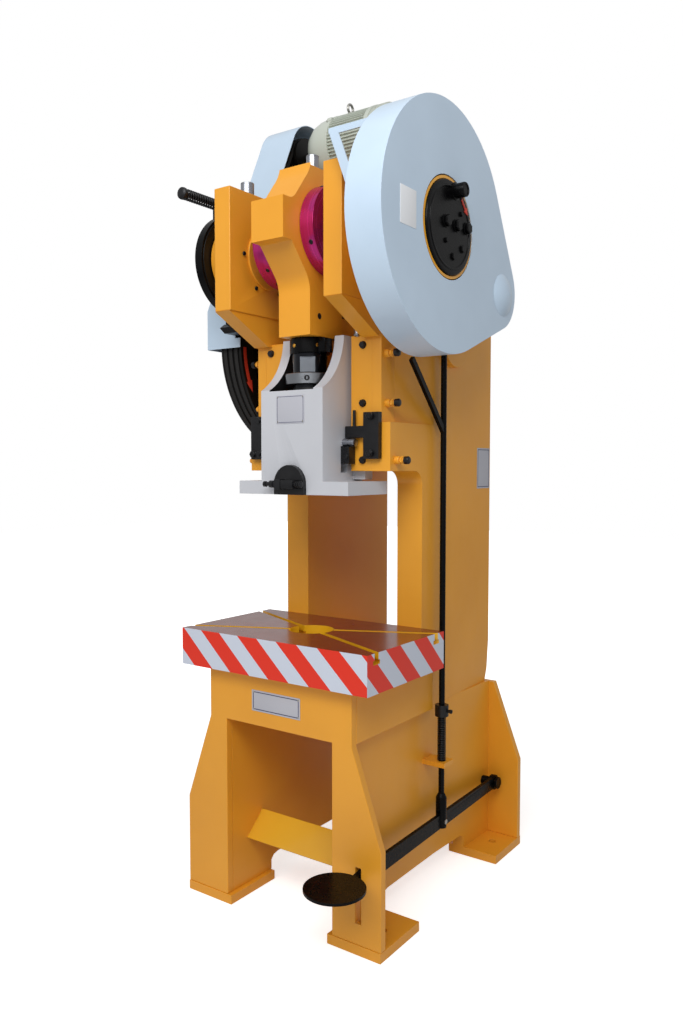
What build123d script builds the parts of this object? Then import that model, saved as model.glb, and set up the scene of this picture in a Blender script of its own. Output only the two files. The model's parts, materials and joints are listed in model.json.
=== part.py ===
from build123d import *
import math
import os

# Mechanical stamping press, rigid C-frame, double-geared, about 50 tonnes.
# Millimetres. Origin on the floor between the four anchor holes.
# X runs to the operator's right, Y to the rear, Z up; the front faces -Y.

os.makedirs("parts", exist_ok=True)


# Plain shapes placed by their limits

def block(x0, x1, y0, y1, z0, z1):
    size = Box(x1 - x0, y1 - y0, z1 - z0)
    return Pos((x0 + x1) / 2, (y0 + y1) / 2, (z0 + z1) / 2) * size


def rod_x(y, z, r, x0, x1):
    return Pos((x0 + x1) / 2, y, z) * Rot(0, 90, 0) * Cylinder(r, x1 - x0)


def rod_y(x, z, r, y0, y1):
    return Pos(x, (y0 + y1) / 2, z) * Rot(90, 0, 0) * Cylinder(r, y1 - y0)


def rod_z(x, y, r, z0, z1):
    return Pos(x, y, (z0 + z1) / 2) * Cylinder(r, z1 - z0)


def slab_x(points, x0, x1):
    """Prism along X from (y, z) points."""
    plane = Plane(origin=(x0, 0, 0), x_dir=(0, 1, 0), z_dir=(1, 0, 0))
    return extrude(plane * make_face(Polyline(*points, close=True)), amount=x1 - x0)


def slab_y(points, y0, y1):
    """Prism along Y from (x, z) points."""
    plane = Plane(origin=(0, y1, 0), x_dir=(1, 0, 0), z_dir=(0, -1, 0))
    return extrude(plane * make_face(Polyline(*points, close=True)), amount=y1 - y0)


def slab_z(points, z0, z1):
    """Prism along Z from (x, y) points."""
    plane = Plane.XY.offset(z0)
    return extrude(plane * make_face(Polyline(*points, close=True)), amount=z1 - z0)


def hex_x(y, z, flats, x0, x1):
    plane = Plane(origin=(x0, y, z), x_dir=(0, 1, 0), z_dir=(1, 0, 0))
    shape = RegularPolygon(flats / 2, 6, major_radius=False)
    return extrude(plane * shape, amount=x1 - x0)


def hex_y(x, z, flats, y0, y1):
    plane = Plane(origin=(x, y1, z), x_dir=(1, 0, 0), z_dir=(0, -1, 0))
    shape = RegularPolygon(flats / 2, 6, major_radius=False)
    return extrude(plane * shape, amount=y1 - y0)


def other_side(shape):
    return mirror(shape, about=Plane.YZ)


def save(name, *shapes):
    solids = []
    for shape in shapes:
        solids.extend(shape.solids())
    body = solids[0] if len(solids) == 1 else Compound(solids)
    export_step(body, "parts/" + name + ".step")


# Main axes, as (y, z) of lines along X

CRANK = (-300.0, 2018.0)
THROW = 50.0
PIN = (CRANK[0], CRANK[1] + THROW)
BALL = (-300.0, 1545.0)

BULL_MODULE = 8.0
BULL_TEETH = 70
PINION_TEETH = 14
FIRST_MODULE = 5.0
FIRST_TEETH = 20
SECOND_TEETH = 42

LAY_DIR = math.atan2(1903.0 - CRANK[1], 16.0 - CRANK[0])
LAY_DIST = BULL_MODULE * (BULL_TEETH + PINION_TEETH) / 2
LAY = (CRANK[0] + LAY_DIST * math.cos(LAY_DIR), CRANK[1] + LAY_DIST * math.sin(LAY_DIR))
FLY_DIR = math.atan2(1775.0 - 1903.0, 103.0 - 16.0)
FLY_DIST = FIRST_MODULE * (FIRST_TEETH + SECOND_TEETH) / 2
FLY = (LAY[0] + FLY_DIST * math.cos(FLY_DIR), LAY[1] + FLY_DIST * math.sin(FLY_DIR))
MOTOR = (125.0, 2487.0)
RUNNING = 0.05

FLY_R = 346.0
FLY_X0 = -428.0
FLY_X1 = -338.0
FLY_SHAFT_R = 35.0
RIM_WALL = 59.0
PULLEY_R = 70.0
BELT_X = (-407.0, -383.0, -359.0)
BULL_TIP = BULL_MODULE * (BULL_TEETH / 2 + 0.92)
HUB_R = 136.0
LEG_OUT = 369.0
ROD_X = 292.0


# Side frames: lower wall, column, guide block and head in one weldment

REAR = 418.0


def head_top(y):
    return 2208 - (y + 60) * 0.329


def side_frame():
    wall_front = slab_x([(-445, 29), (-258, 29), (-258, 60), (-246, 73), (-225, 78), (-10, 78),
                         (-10, 589), (-445, 589)], 202, 236)
    wall_rear = slab_x([(-10, 78), (232, 78), (250, 70), (258, 55), (258, 29), (435, 29), (435, 586),
                        (418, 589), (-10, 589)], 202, 260)
    wall_rear &= slab_z([(202, -10), (236, -10), (236, 60), (252, 435), (202, 435)], 0, 600)
    root = slab_y([(202, 589), (242, 589), (269, 749.5), (202, 749.5)], -10, REAR)
    root &= slab_z([(202, -10), (269, -10), (269, 390), (250, REAR), (202, REAR)], 580, 760)
    throat = slab_x([(-85, 749.5), (REAR, 749.5), (REAR, 1500), (-271, 1500), (-271, 1356), (-85, 1356)],
                    179, 269)
    corner = throat.edges().filter_by(Axis.X).sort_by_distance((224, -85, 1356))[0]
    plan = [(179, -271), (237.7, -271), (237.7, -200), (269, -20), (269, 390), (250, REAR), (179, REAR)]
    column = fillet(corner, 45) & slab_z([(179, -271), (269, -271), (269, 390), (250, REAR), (179, REAR)],
                                         740, 1510)
    head = slab_z(plan, 1500, 2208)
    slope = slab_x([(-60, head_top(-60)), (REAR + 10, head_top(REAR + 10)), (REAR + 10, 2220), (-60, 2220)],
                   170, 280)
    head -= slope
    head -= block(170, 280, -280, -150, 1840, 2220)
    haunch = slab_x([(-470.5, 1840), (-290, 1750), (-271, 1750), (-271, 1840)], 179, 237)
    frame = wall_front + wall_rear + root + column + head + haunch
    frame -= block(179, 205, -271, -241, 1356, 1758)
    frame -= rod_x(FLY[0], FLY[1], 50, 170, 280)
    frame -= rod_x(LAY[0], LAY[1], 45, 170, 280)
    return frame


right_frame = side_frame()
save("side_frame_right", right_frame)
save("side_frame_left", other_side(right_frame))

# Legs, bed and cross plates

leg_outline = [(202, 29), (LEG_OUT, 29), (LEG_OUT, 309), (270, 588), (270, 749.5), (-270, 749.5), (-270, 588),
               (-LEG_OUT, 309), (-LEG_OUT, 29), (-202, 29), (-202, 588), (202, 588)]
front_leg = slab_y(leg_outline, -470, -445)
front_leg -= block(ROD_X - 9, ROD_X + 10, -480, -440, 90, 250)

rear_outline = [(202, 29), (LEG_OUT, 29), (LEG_OUT, 316), (270, 586), (-270, 586), (-LEG_OUT, 316),
                (-LEG_OUT, 29), (-202, 29), (-202, 500), (202, 500)]
save("leg_plates", front_leg, slab_y(rear_outline, 435, 460))

ANCHOR_X = LEG_OUT - 63
ANCHOR_Y = 363.0
pads = []
for side in (-1, 1):
    for y0, y1, hole_y in ((-472, -261, -ANCHOR_Y), (258, 462, ANCHOR_Y)):
        low, high = sorted((186 * side, LEG_OUT * side))
        pad = block(low, high, y0, y1, 0, 29) - rod_z(ANCHOR_X * side, hole_y, 13, -5, 40)
        pads.append(pad)
save("foot_pads", *pads)

bed = block(-270, 270, -445, -10, 589, 749.5)
bed -= block(-200, 200, -425, -30, 580, 700)
bed -= rod_z(0, -300, 75, 600, 760)
save("bed_block", bed, block(-202, 202, -10, 390, 700, 749.5))
save("head_plates", block(-179, 179, -130, 355, 1356, 1396), block(-179, 179, 355, 390, 1356, 2000))
save("scrap_chute", slab_x([(-300, 245), (-304, 249), (-379, 179), (-375, 175)], -202, 202))

# Bolster with four diagonal T-slots and a drop-through hole

BOLSTER_TOP = 864.0
slot_angle = math.degrees(math.atan2(165, 350))
SLOT_NECK = 18.0
SLOT_TEE = 30.0
bolster = block(-350, 350, -511, -88, 749.5, BOLSTER_TOP)
bolster -= rod_z(0, -300, 70, 740, BOLSTER_TOP + 10)
for angle in (slot_angle, -slot_angle, 180 - slot_angle, 180 + slot_angle):
    neck = Pos(280, 0, BOLSTER_TOP - 10) * Box(460, SLOT_NECK, 24)
    tee = Pos(280, 0, BOLSTER_TOP - 26) * Box(460, SLOT_TEE, 12)
    bolster -= Pos(0, -300, 0) * Rot(0, 0, angle) * (neck + tee)
save("bolster", bolster)

# Gibs: a C-shaped way on each side, with front bolts and side adjusting studs

gib_plan = [(205, -271), (129.5, -271), (129.5, -241), (160.3, -241), (160.3, -199.7),
            (129.5, -199.7), (129.5, -170), (179, -170), (179, -241), (205, -241)]
gib = slab_z(gib_plan, 1356, 1758)
save("gib_right", gib)
save("gib_left", other_side(gib))

GIB_BOLT_Z = (1730, 1558, 1389)
heads = [rod_y(x, z, 12, -281, -271) for x in (-173, 173) for z in GIB_BOLT_Z]
save("gib_bolts", *heads)

studs = ((-246, 1703, 237.7), (-242, 1557, 237.7), (-239, 1388, 269))
bosses = []
stud_heads = []
for y, z, face in studs:
    boss = rod_x(y, z, 12, face, face + 30)
    head = hex_x(y, z, 24, face + 30, face + 47)
    bosses.extend([boss, other_side(boss)])
    stud_heads.extend([head, other_side(head)])
save("gib_studs", *bosses, *stud_heads)

# Crank bearings

cheek = block(174, 237, -470.5, -150, 1840, 2208) - rod_x(CRANK[0], CRANK[1], 80, 160, 250)
collar = rod_x(CRANK[0], CRANK[1], 122, 237, 300) - rod_x(CRANK[0], CRANK[1], 80, 230, 310)
save("bearing_block_right", cheek, collar)
save("bearing_block_left", other_side(cheek), other_side(collar))
bush = rod_x(CRANK[0], CRANK[1], 80, 174, 300) + rod_x(CRANK[0], CRANK[1], 93, 166, 174)
bush -= rod_x(CRANK[0], CRANK[1], 60 + RUNNING, 160, 310)
save("crank_bush_right", bush)
save("crank_bush_left", other_side(bush))
ring_bolts = []
for k in range(6):
    turn = math.radians(30 + 60 * k)
    y = CRANK[0] + 111 * math.cos(turn)
    z = CRANK[1] + 111 * math.sin(turn)
    bolt = rod_x(y, z, 5.5, 171, 174)
    ring_bolts.extend([bolt, other_side(bolt)])
save("bearing_ring_bolts", *ring_bolts)
save("cheek_oil_cup", rod_z(-205, -350, 22, 2208, 2240), rod_z(-205, -350, 18, 2240, 2246))

# Drive shaft bearings in the side frames

def shaft_bearing(axis, flange_r, spigot_r, shaft_r, closed):
    y, z = axis
    body = rod_x(y, z, flange_r, 269, 288) + rod_x(y, z, spigot_r, 179, 269)
    end = 282 if closed else 300
    return body - rod_x(y, z, shaft_r + RUNNING, 170, end)


blind = shaft_bearing(FLY, 84, 50, FLY_SHAFT_R, True)
through = other_side(shaft_bearing(FLY, 84, 50, FLY_SHAFT_R, False))
save("flywheel_bearings", blind, through)
blind = other_side(shaft_bearing(LAY, 60, 45, 30, True))
through = shaft_bearing(LAY, 60, 45, 30, False)
save("layshaft_bearings", blind, through)

# Brake on the crank's left end: band, anchor, tension bolt and spring

DRUM_R = 150.0
BAND_IN = DRUM_R + 0.4
BAND_OUT = BAND_IN + 6.6
BAND_TOP = CRANK[1] + BAND_OUT
BAND_LOW = CRANK[1] - BAND_OUT
BOLT_Z = BAND_TOP + 25
BOLT_R = 7.0
inside = rod_x(CRANK[0], CRANK[1], BAND_IN, -340, -300)
band = rod_x(CRANK[0], CRANK[1], BAND_OUT, -334, -306) - inside
band -= block(-340, -300, -366, -356, CRANK[1] + 82, BOLT_Z)
lugs = block(-332, -308, -378, -366, BOLT_Z - 60, BOLT_Z + 16)
lugs += block(-332, -308, -356, -344, BOLT_Z - 50, BOLT_Z + 16)
lugs -= inside + rod_y(-320, BOLT_Z, BOLT_R, -400, -330)
anchor = block(-334, -306, -320, -292, BAND_LOW - 31, BAND_LOW + 5) - inside
foot = slab_x([(-347, BAND_LOW - 45), (-325, BAND_LOW - 31), (-271, BAND_LOW - 31), (-271, BAND_LOW - 60),
               (-325, BAND_LOW - 60)], -336, -237)
save("brake_band", band + lugs + anchor, foot)
bolt = rod_y(-320, BOLT_Z, BOLT_R, -505, -335) + rod_y(-320, BOLT_Z, 16, -512, -497)
save("brake_bolt", bolt + rod_y(-320, BOLT_Z, 12, -344, -335))
save("brake_spring", rod_y(-320, BOLT_Z, 13, -497, -378) - rod_y(-320, BOLT_Z, BOLT_R + 2, -500, -370))

# Gear guard

def pulley_outline(c0, r0, c1, r1):
    """Outer outline around two circles, as a closed list of points."""
    dy = c1[0] - c0[0]
    dz = c1[1] - c0[1]
    base = math.atan2(dz, dy)
    spread = math.acos((r0 - r1) / math.hypot(dy, dz))
    pts = []
    steps = 60
    for k in range(steps + 1):
        t = base + spread + (2 * math.pi - 2 * spread) * k / steps
        pts.append((c0[0] + r0 * math.cos(t), c0[1] + r0 * math.sin(t)))
    steps = 24
    for k in range(steps + 1):
        t = base - spread + 2 * spread * k / steps
        pts.append((c1[0] + r1 * math.cos(t), c1[1] + r1 * math.sin(t)))
    return pts


GUARD_R = BULL_TIP + 51.6
LOBE_R = 118.0
SHEET = 3.0
GUARD_FACE = 473.0
DOME_R = 64.0
DOME_RISE = 20.0
outer = slab_x(pulley_outline(CRANK, GUARD_R, LAY, LOBE_R), 365, GUARD_FACE)
inner = slab_x(pulley_outline(CRANK, GUARD_R - SHEET, LAY, LOBE_R - SHEET), 360, GUARD_FACE - SHEET)
gear_guard = outer - inner - rod_x(CRANK[0], CRANK[1], HUB_R + 3, 460, 480)
dome_y = LAY[0] + 30
dome_z = LAY[1] - 12
ball_r = (DOME_R ** 2 + DOME_RISE ** 2) / (2 * DOME_RISE)
halfway = math.sqrt(ball_r ** 2 - (DOME_R / 2) ** 2) - ball_r + DOME_RISE
bulge = ThreePointArc((0, DOME_R), (halfway, DOME_R / 2), (DOME_RISE, 0))
cap_plane = Plane(origin=(GUARD_FACE, dome_y, dome_z), x_dir=(1, 0, 0), z_dir=(0, -1, 0))
cap_face = cap_plane * make_face(Curve() + bulge + Line((DOME_RISE, 0), (0, 0)) + Line((0, 0), (0, DOME_R)))
dome = revolve(cap_face, axis=Axis((0, dome_y, dome_z), (1, 0, 0)), revolution_arc=360)
save("gear_guard", gear_guard, dome)
stay_legs = slab_y([(217, 2275), (375, 2275), (375, 2270), (224, 2270), (287, 2144), (281, 2144)], -500, -470)
stay_legs += block(276, 292, -500, -470, 2120, 2144) + block(237, 292, -500, -470.5, 2114, 2120)
stay_legs += block(237, 243, -500, -400, 2100, 2120)
struts = []
for turn in (-60.0, 31.25):
    y = CRANK[0] + (BULL_TIP + 25.5) * math.cos(math.radians(turn))
    z = CRANK[1] + (BULL_TIP + 25.5) * math.sin(math.radians(turn))
    struts.append(rod_x(y, z, 9, 255, GUARD_FACE - SHEET) - right_frame)
BELT_GUARD_REAR = FLY[0] + FLY_R + 14
rear_arm = block(FLY_X1 + 14, -269, BELT_GUARD_REAR - 23, BELT_GUARD_REAR, 1850, 1880)
rear_arm += block(-285, -269, 300, BELT_GUARD_REAR, 1850, 1880)
save("guard_supports", stay_legs, rear_arm, *struts)

# Belt guard over the flywheel and the motor pulley

def belt_outline(inset):
    """Front wall, leaning wall tangent to the round top, rear wall; the underside is flat."""
    front = FLY[0] - FLY_R - 20 + inset
    rear = BELT_GUARD_REAR - inset
    top_r = PULLEY_R + 40 - inset
    away = math.hypot(MOTOR[0] - front, MOTOR[1] - 1894)
    rise = math.atan2(MOTOR[1] - 1894, MOTOR[0] - front) + math.asin(top_r / away)
    pts = [(front, 1764), (front, 1894)]
    for k in range(25):
        t = rise + math.pi / 2 - (2 * rise) * k / 24
        pts.append((MOTOR[0] + top_r * math.cos(t), MOTOR[1] + top_r * math.sin(t)))
    pts.extend([(rear, 1960), (rear, 1764)])
    return pts


belt_guard = slab_x(belt_outline(0), FLY_X0 - 44, FLY_X1 + 14)
hollow = belt_outline(SHEET)
hollow[0] = (hollow[0][0], 1700)
hollow[-1] = (hollow[-1][0], 1700)
belt_guard -= slab_x(hollow, FLY_X0 - 44 + SHEET, FLY_X1 + 38)
belt_guard -= rod_x(CRANK[0], CRANK[1], BAND_OUT + 9, -346, -300)
belt_guard -= block(-346, -300, -380, -150, BAND_LOW - 66, BAND_LOW + 39)
save("belt_guard", belt_guard)

# Motor on its platform above the head

my, mz = MOTOR
motor_body = rod_x(my, mz, 110, -225, -10)
shield = rod_x(my, mz, 106, -250, -225) - rod_x(my, mz, 16, -260, -230)
save("motor_fan_cowl", rod_x(my, mz, 109, -10, 45))
foot = block(-200, -35, my - 95, my - 60, mz - 112, mz - 40)
foot += block(-200, -35, my + 60, my + 95, mz - 112, mz - 40)
foot -= motor_body
save("motor_body", motor_body + foot, shield)
box = block(-160, -60, my + 60, my + 150, mz - 30, mz + 50) - rod_x(my, mz, 110.3, -230, 0)
gland = rod_x(my + 131, mz, 12, -60, -38) + hex_x(my + 131, mz, 30, -60, -50)
save("motor_terminal_box", box, gland)
eye = Pos(-135, my, mz + 132) * Rot(90, 0, 0) * Torus(15, 4.5)
eye += rod_z(-135, my, 8, mz + 105, mz + 120)
save("motor_eyebolt", eye - motor_body)


bracket = slab_x([(10, head_top(10)), (260, head_top(260)), (260, 2355), (10, 2355)], 205, 225)
save("motor_platform", block(-235, 235, 10, 260, 2355, 2375), bracket, other_side(bracket))

# Knock-out stops on the gibs, and blank plates

stop = block(186, 240, -291, -271, 1392, 1530) + block(121, 186, -291, -271, 1455, 1490)
stop_bolts = [rod_y(x, z, 11, -300, -291) for x in (-213, 213) for z in (1518, 1409)]
save("knockout_stops", stop, other_side(stop), *stop_bolts)
bed_plate = block(-96, 89, -471.5, -470, 633, 697)
side_plate = block(269, 270, 289, 385, 1293, 1433)
guard_plate = block(473, 474, -552, -474, 1976, 2071)
save("blank_plates", bed_plate, side_plate, guard_plate)

# Crankshaft with brake drum and clutch disc

def crank_piece():
    y, z = CRANK
    shaft = rod_x(y, z, 60, -345, -100) + rod_x(y, z, 60, 100, 304)
    shaft += rod_x(y, z, 50, 300, 461)
    shaft += rod_x(y, PIN[1], 60, -65, 65)
    shaft += rod_x(y, z + 22, 119, -130, -70)
    shaft += rod_x(y, PIN[1], 131.5, -70, -61)
    shaft += rod_x(y, PIN[1], 131.5, 60.6, 108)
    shaft += rod_x(y, z, 75, 108, 158)
    return shaft


save("crankshaft", crank_piece())
drum = rod_x(CRANK[0], CRANK[1], DRUM_R, -336, -303)
drum -= rod_x(CRANK[0], CRANK[1], 60, -340, -300)
drum -= rod_x(CRANK[0], CRANK[1], 128, -340, -326) - rod_x(CRANK[0], CRANK[1], 84, -340, -326)
save("brake_drum", drum)
clutch = rod_x(CRANK[0], CRANK[1], HUB_R - 9, 461, 480)
clutch_bolts = []
for y, z, r, out in ((-321, 2031, 13, 6), (-256, 2037, 13, 6), (-193, 2040, 13, 6), (-310, 1983, 6, 3),
                     (-219, 1978, 6, 3), (-266, 1946, 6, 3), (-221, 2073, 6, 3)):
    clutch_bolts.append(rod_x(y, z, r, 480, 480 + out))
save("clutch_disc", clutch, *clutch_bolts)
save("clutch_turning_pin", rod_x(-270, 2128, 18, 480, 530))

# Gears with straight-flanked teeth and backlash

def gear_points(centre, module, teeth, phase):
    pitch_r = module * teeth / 2
    half = math.pi * module / 4 * 0.8
    tip = pitch_r + 0.92 * module
    root = pitch_r - 1.2 * module
    half_tip = half - 0.92 * module * math.tan(math.radians(20))
    half_root = half + 1.2 * module * math.tan(math.radians(20)) * 0.7
    pts = []
    for k in range(teeth):
        mid = phase + 2 * math.pi * k / teeth
        for r, w in ((root, -half_root), (tip, -half_tip), (tip, half_tip), (root, half_root)):
            t = mid + w / r
            pts.append((centre[0] + r * math.cos(t), centre[1] + r * math.sin(t)))
    return pts


bull = slab_x(gear_points(CRANK, BULL_MODULE, BULL_TEETH, LAY_DIR), 385, 455)
recess = rod_x(CRANK[0], CRANK[1], BULL_TIP - 43, 435, 460) - rod_x(CRANK[0], CRANK[1], 134, 430, 465)
bull -= recess
bull -= rod_x(CRANK[0], CRANK[1], BULL_TIP - 43, 380, 405) - rod_x(CRANK[0], CRANK[1], 100, 375, 410)
bull += rod_x(CRANK[0], CRANK[1], 100, 312, 390) + rod_x(CRANK[0], CRANK[1], HUB_R, 450, 472)
bull -= rod_x(CRANK[0], CRANK[1], HUB_R - 7.5, 458, 480)
bull -= rod_x(CRANK[0], CRANK[1], 50 + RUNNING, 300, 470)
save("bull_gear", bull)

pinion_phase = LAY_DIR + math.pi + math.pi / PINION_TEETH
pinion = slab_x(gear_points(LAY, BULL_MODULE, PINION_TEETH, pinion_phase), 383, 457)
pinion += rod_x(LAY[0], LAY[1], 30, -280, 460)
save("layshaft", pinion)
second = slab_x(gear_points(LAY, FIRST_MODULE, SECOND_TEETH, FLY_DIR), 110, 165)
second -= rod_x(LAY[0], LAY[1], 30, 100, 170)
save("layshaft_gear", second)

first_phase = FLY_DIR + math.pi + math.pi / FIRST_TEETH
first = slab_x(gear_points(FLY, FIRST_MODULE, FIRST_TEETH, first_phase), 108, 167)
first += rod_x(FLY[0], FLY[1], FLY_SHAFT_R, FLY_X0 - 4, 280)
save("flywheel_shaft", first)

# Flywheel with three belt grooves; belts; motor pulley

def grooved_wheel(axis, r, x0, x1):
    """Rim outline in the radial plane, turned about the axis."""
    pts = [(x0, 0), (x0, r)]
    for x in BELT_X:
        pts.extend([(x - 9, r), (x - 6, r - 12), (x + 6, r - 12), (x + 9, r)])
    pts.extend([(x1, r), (x1, 0)])
    plane = Plane(origin=(0, axis[0], axis[1]), x_dir=(1, 0, 0), z_dir=(0, -1, 0))
    face = plane * make_face(Polyline(*pts, close=True))
    return revolve(face, axis=Axis((0, axis[0], axis[1]), (1, 0, 0)), revolution_arc=360)


flywheel = grooved_wheel(FLY, FLY_R, FLY_X0, FLY_X1)
for low, high in ((FLY_X0 - 5, FLY_X0 + 30), (FLY_X1 - 30, FLY_X1 + 5)):
    flywheel -= rod_x(FLY[0], FLY[1], FLY_R - RIM_WALL, low, high) - rod_x(FLY[0], FLY[1], 72, low - 5, high + 5)
flywheel -= rod_x(FLY[0], FLY[1], FLY_SHAFT_R, FLY_X0 - 12, FLY_X1 + 18)
save("flywheel", flywheel)
pulley = grooved_wheel(MOTOR, PULLEY_R, FLY_X0, FLY_X1)
pulley -= rod_x(my, mz, 14, FLY_X0 - 12, FLY_X1 + 18)
save("motor_pulley", pulley, rod_x(my, mz, 14, -430, -238))

BELT_OUT = 3.0
BELT_IN = 8.0
belts = []
for x in BELT_X:
    out_pts = pulley_outline(FLY, FLY_R + BELT_OUT, MOTOR, PULLEY_R + BELT_OUT)
    in_pts = pulley_outline(FLY, FLY_R - BELT_IN, MOTOR, PULLEY_R - BELT_IN)
    strip = slab_x(out_pts, x - 6.6, x + 6.6) - slab_x(in_pts, x - 10, x + 10)
    belts.append(strip)
save("drive_belts", *belts)

# Pitman with its adjusting screw and ball

SCREW_Y = BALL[0]
HALF_STEM = 81.0
HALF_BOSS = 204.0
BOSS_LOW = PIN[1] - 55
BOSS_HIGH = PIN[1] + 62
side = []
for way in (-1, 1):
    edge = [(PIN[0] + way * reach, z) for reach, z in (
        (HALF_STEM, 1758), (HALF_STEM, BOSS_LOW), (HALF_BOSS, BOSS_LOW), (HALF_BOSS, BOSS_HIGH),
        (HALF_STEM, BOSS_HIGH), (HALF_STEM, PIN[1] + 189))]
    side.extend(edge if way < 0 else reversed(edge))
pitman = slab_x(side, -59, 59)
for z, bow in ((BOSS_LOW, 76.0), (BOSS_HIGH, 120.0)):
    for way in (-1, 1):
        inner_edge = pitman.edges().filter_by(Axis.X).sort_by_distance((0, PIN[0] + way * HALF_STEM, z))[0]
        pitman = fillet(inner_edge, bow)
pitman -= rod_x(PIN[0], PIN[1], 111.5, -70, 70)
pitman -= rod_z(0, SCREW_Y, 45, 1750, 1861)
pitman -= rod_x(-334, 1817, 6, 45, 70)
save("pitman", pitman)
screw = Pos(0, SCREW_Y, BALL[1]) * Sphere(42)
screw += rod_z(0, SCREW_Y, 30, 1560, 1655)
screw += rod_z(0, SCREW_Y, 53, 1650, 1710)
screw += rod_z(0, SCREW_Y, 45, 1705, 1860)
screw -= block(-60, 60, -360, -347, 1655, 1705)
screw -= block(-60, 60, -253, -240, 1655, 1705)
save("adjusting_screw", screw)
lower_ring = rod_z(0, SCREW_Y, 75, 1617, 1650) - rod_z(0, SCREW_Y, 30, 1610, 1655)
lock_ring = rod_z(0, SCREW_Y, 75, 1710, 1758) - rod_z(0, SCREW_Y, 45, 1700, 1765)
save("screw_rings", lower_ring, lock_ring)
CROWN = PIN[1] + 189
save("pitman_oil_cup", rod_z(5, -295, 20, CROWN, CROWN + 31), rod_z(5, -295, 16, CROWN + 31, CROWN + 37))

# Ram with its ball seat, tool clamp and knock-out bar

ram = block(-117, 117, -398, -191, 1325.5, 1762)
ram += block(-160, 160, -240.7, -200, 1330, 1762)
ram += block(-207.6, 207.6, -398, -191, 1285.5, 1325.5)
ram -= block(-83, 83, -410, -180, 1596, 1770)
ram -= rod_x(-487, 1775, 197, -130, 130)
ram -= rod_z(0, BALL[0], 60, 1490, 1600)
ram -= block(-120, 120, -306.5, -272.5, 1351, 1430)
ram -= rod_z(0, -300, 12, 1280, 1360)
CLAMP_R = 56.0
clamp_plan = rod_y(0, 1318, CLAMP_R, -412, -315) + block(-CLAMP_R, CLAMP_R, -412, -315, 1285.5, 1318)
clamp_plan -= block(-70, 70, -420, -310, 1240, 1285.5)
ram -= clamp_plan
SHANK_R = 25.0
shank_hole = rod_z(0, -300, SHANK_R, 1280, 1345)
ram -= shank_hole
save("ram", ram)
clamp = clamp_plan - shank_hole + block(-34, -12, -438, -412, 1302, 1332)
stud = rod_x(-424, 1317, 8, -80, -34) + hex_x(-424, 1317, 26, -92, -72)
save("tool_clamp", clamp, stud)
seat = rod_z(0, BALL[0], 60, 1490, BALL[1]) - Pos(0, BALL[0], BALL[1]) * Sphere(42.3)
cap = rod_z(0, BALL[0], 60, BALL[1], 1596) + rod_z(0, BALL[0], 57, 1596, 1608)
cap -= Pos(0, BALL[0], BALL[1]) * Sphere(42.3)
cap -= rod_z(0, BALL[0], 38, BALL[1], 1620)
save("ball_seat", seat, cap)
save("ram_blank_plate", block(-55, 50, -399.5, -398, 1498, 1581))

bar = block(-146, 146, -306, -273, 1377, 1429)
tips = rod_z(134, -281, 8, 1429, 1449) + rod_z(-134, -281, 8, 1429, 1449)
save("knockout_bar", bar, tips)

# Treadle, pull rod and return spring

PIVOT = (394.0, 232.0)
PIVOT_R = 16.0
ROD_Y = 8.0
ROD_R = 9.5
LINK_Z = 222.0
LINK_PIN_R = 8.0
LINK_PLAY = 4.2
lever = slab_x([(416, 212), (416, 252), (-352, 242), (-445, 240), (-495, 234), (-600, 234), (-600, 226),
                (-500, 202), (-352, 192)], ROD_X - 6, ROD_X + 6)
lever += rod_x(PIVOT[0], PIVOT[1], PIVOT_R + 10, ROD_X - 9, ROD_X + 9)
lever -= rod_x(PIVOT[0], PIVOT[1], PIVOT_R + RUNNING, ROD_X - 12, ROD_X + 28)
lever -= rod_x(ROD_Y, LINK_Z, LINK_PIN_R + LINK_PLAY, 270, 320)
save("treadle_lever", lever, rod_z(ROD_X + 2, -583, 86, 234, 242))
pivot = rod_x(PIVOT[0], PIVOT[1], PIVOT_R, 240, ROD_X + 17)
pivot += rod_x(PIVOT[0], PIVOT[1], PIVOT_R + 5, ROD_X + 10, ROD_X + 22)
save("treadle_pivot", pivot - right_frame)
GUIDE_LOW = 405.0
GUIDE_TOP = 420.0
guide = block(236, ROD_X + 24, ROD_Y - 25, ROD_Y + 36, GUIDE_LOW, GUIDE_TOP)
save("rod_guide", guide - rod_z(ROD_X, ROD_Y, ROD_R + 0.7, 400, 430))

rod = rod_z(ROD_X, ROD_Y, ROD_R, 300, 1745)
clevis = rod_z(ROD_X, ROD_Y, 17.5, 202, 300) + Pos(ROD_X, ROD_Y, 307) * Cone(17.5, 10.5, 14)
clevis -= block(ROD_X - 6.4, ROD_X + 6.4, ROD_Y - 20, ROD_Y + 20, 190, 262)
clevis -= rod_x(ROD_Y, LINK_Z, LINK_PIN_R, ROD_X - 32, ROD_X + 28)
save("clevis_pin", rod_x(ROD_Y, LINK_Z, LINK_PIN_R, ROD_X - 19, ROD_X + 19))
COLLAR_LOW = 567.0
COLLAR_TOP = 604.0
ring = rod_z(ROD_X, ROD_Y, 22, COLLAR_LOW, COLLAR_TOP) - rod_z(ROD_X, ROD_Y, ROD_R, 550, 630)
save("rod_collar", ring, rod_x(ROD_Y, (COLLAR_LOW + COLLAR_TOP) / 2, 5, ROD_X + 22, ROD_X + 36))
coil = rod_z(ROD_X, ROD_Y, ROD_R + 5, GUIDE_TOP, COLLAR_LOW)
save("return_spring", coil - rod_z(ROD_X, ROD_Y, ROD_R + 1, GUIDE_TOP - 5, COLLAR_LOW + 5))

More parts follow.
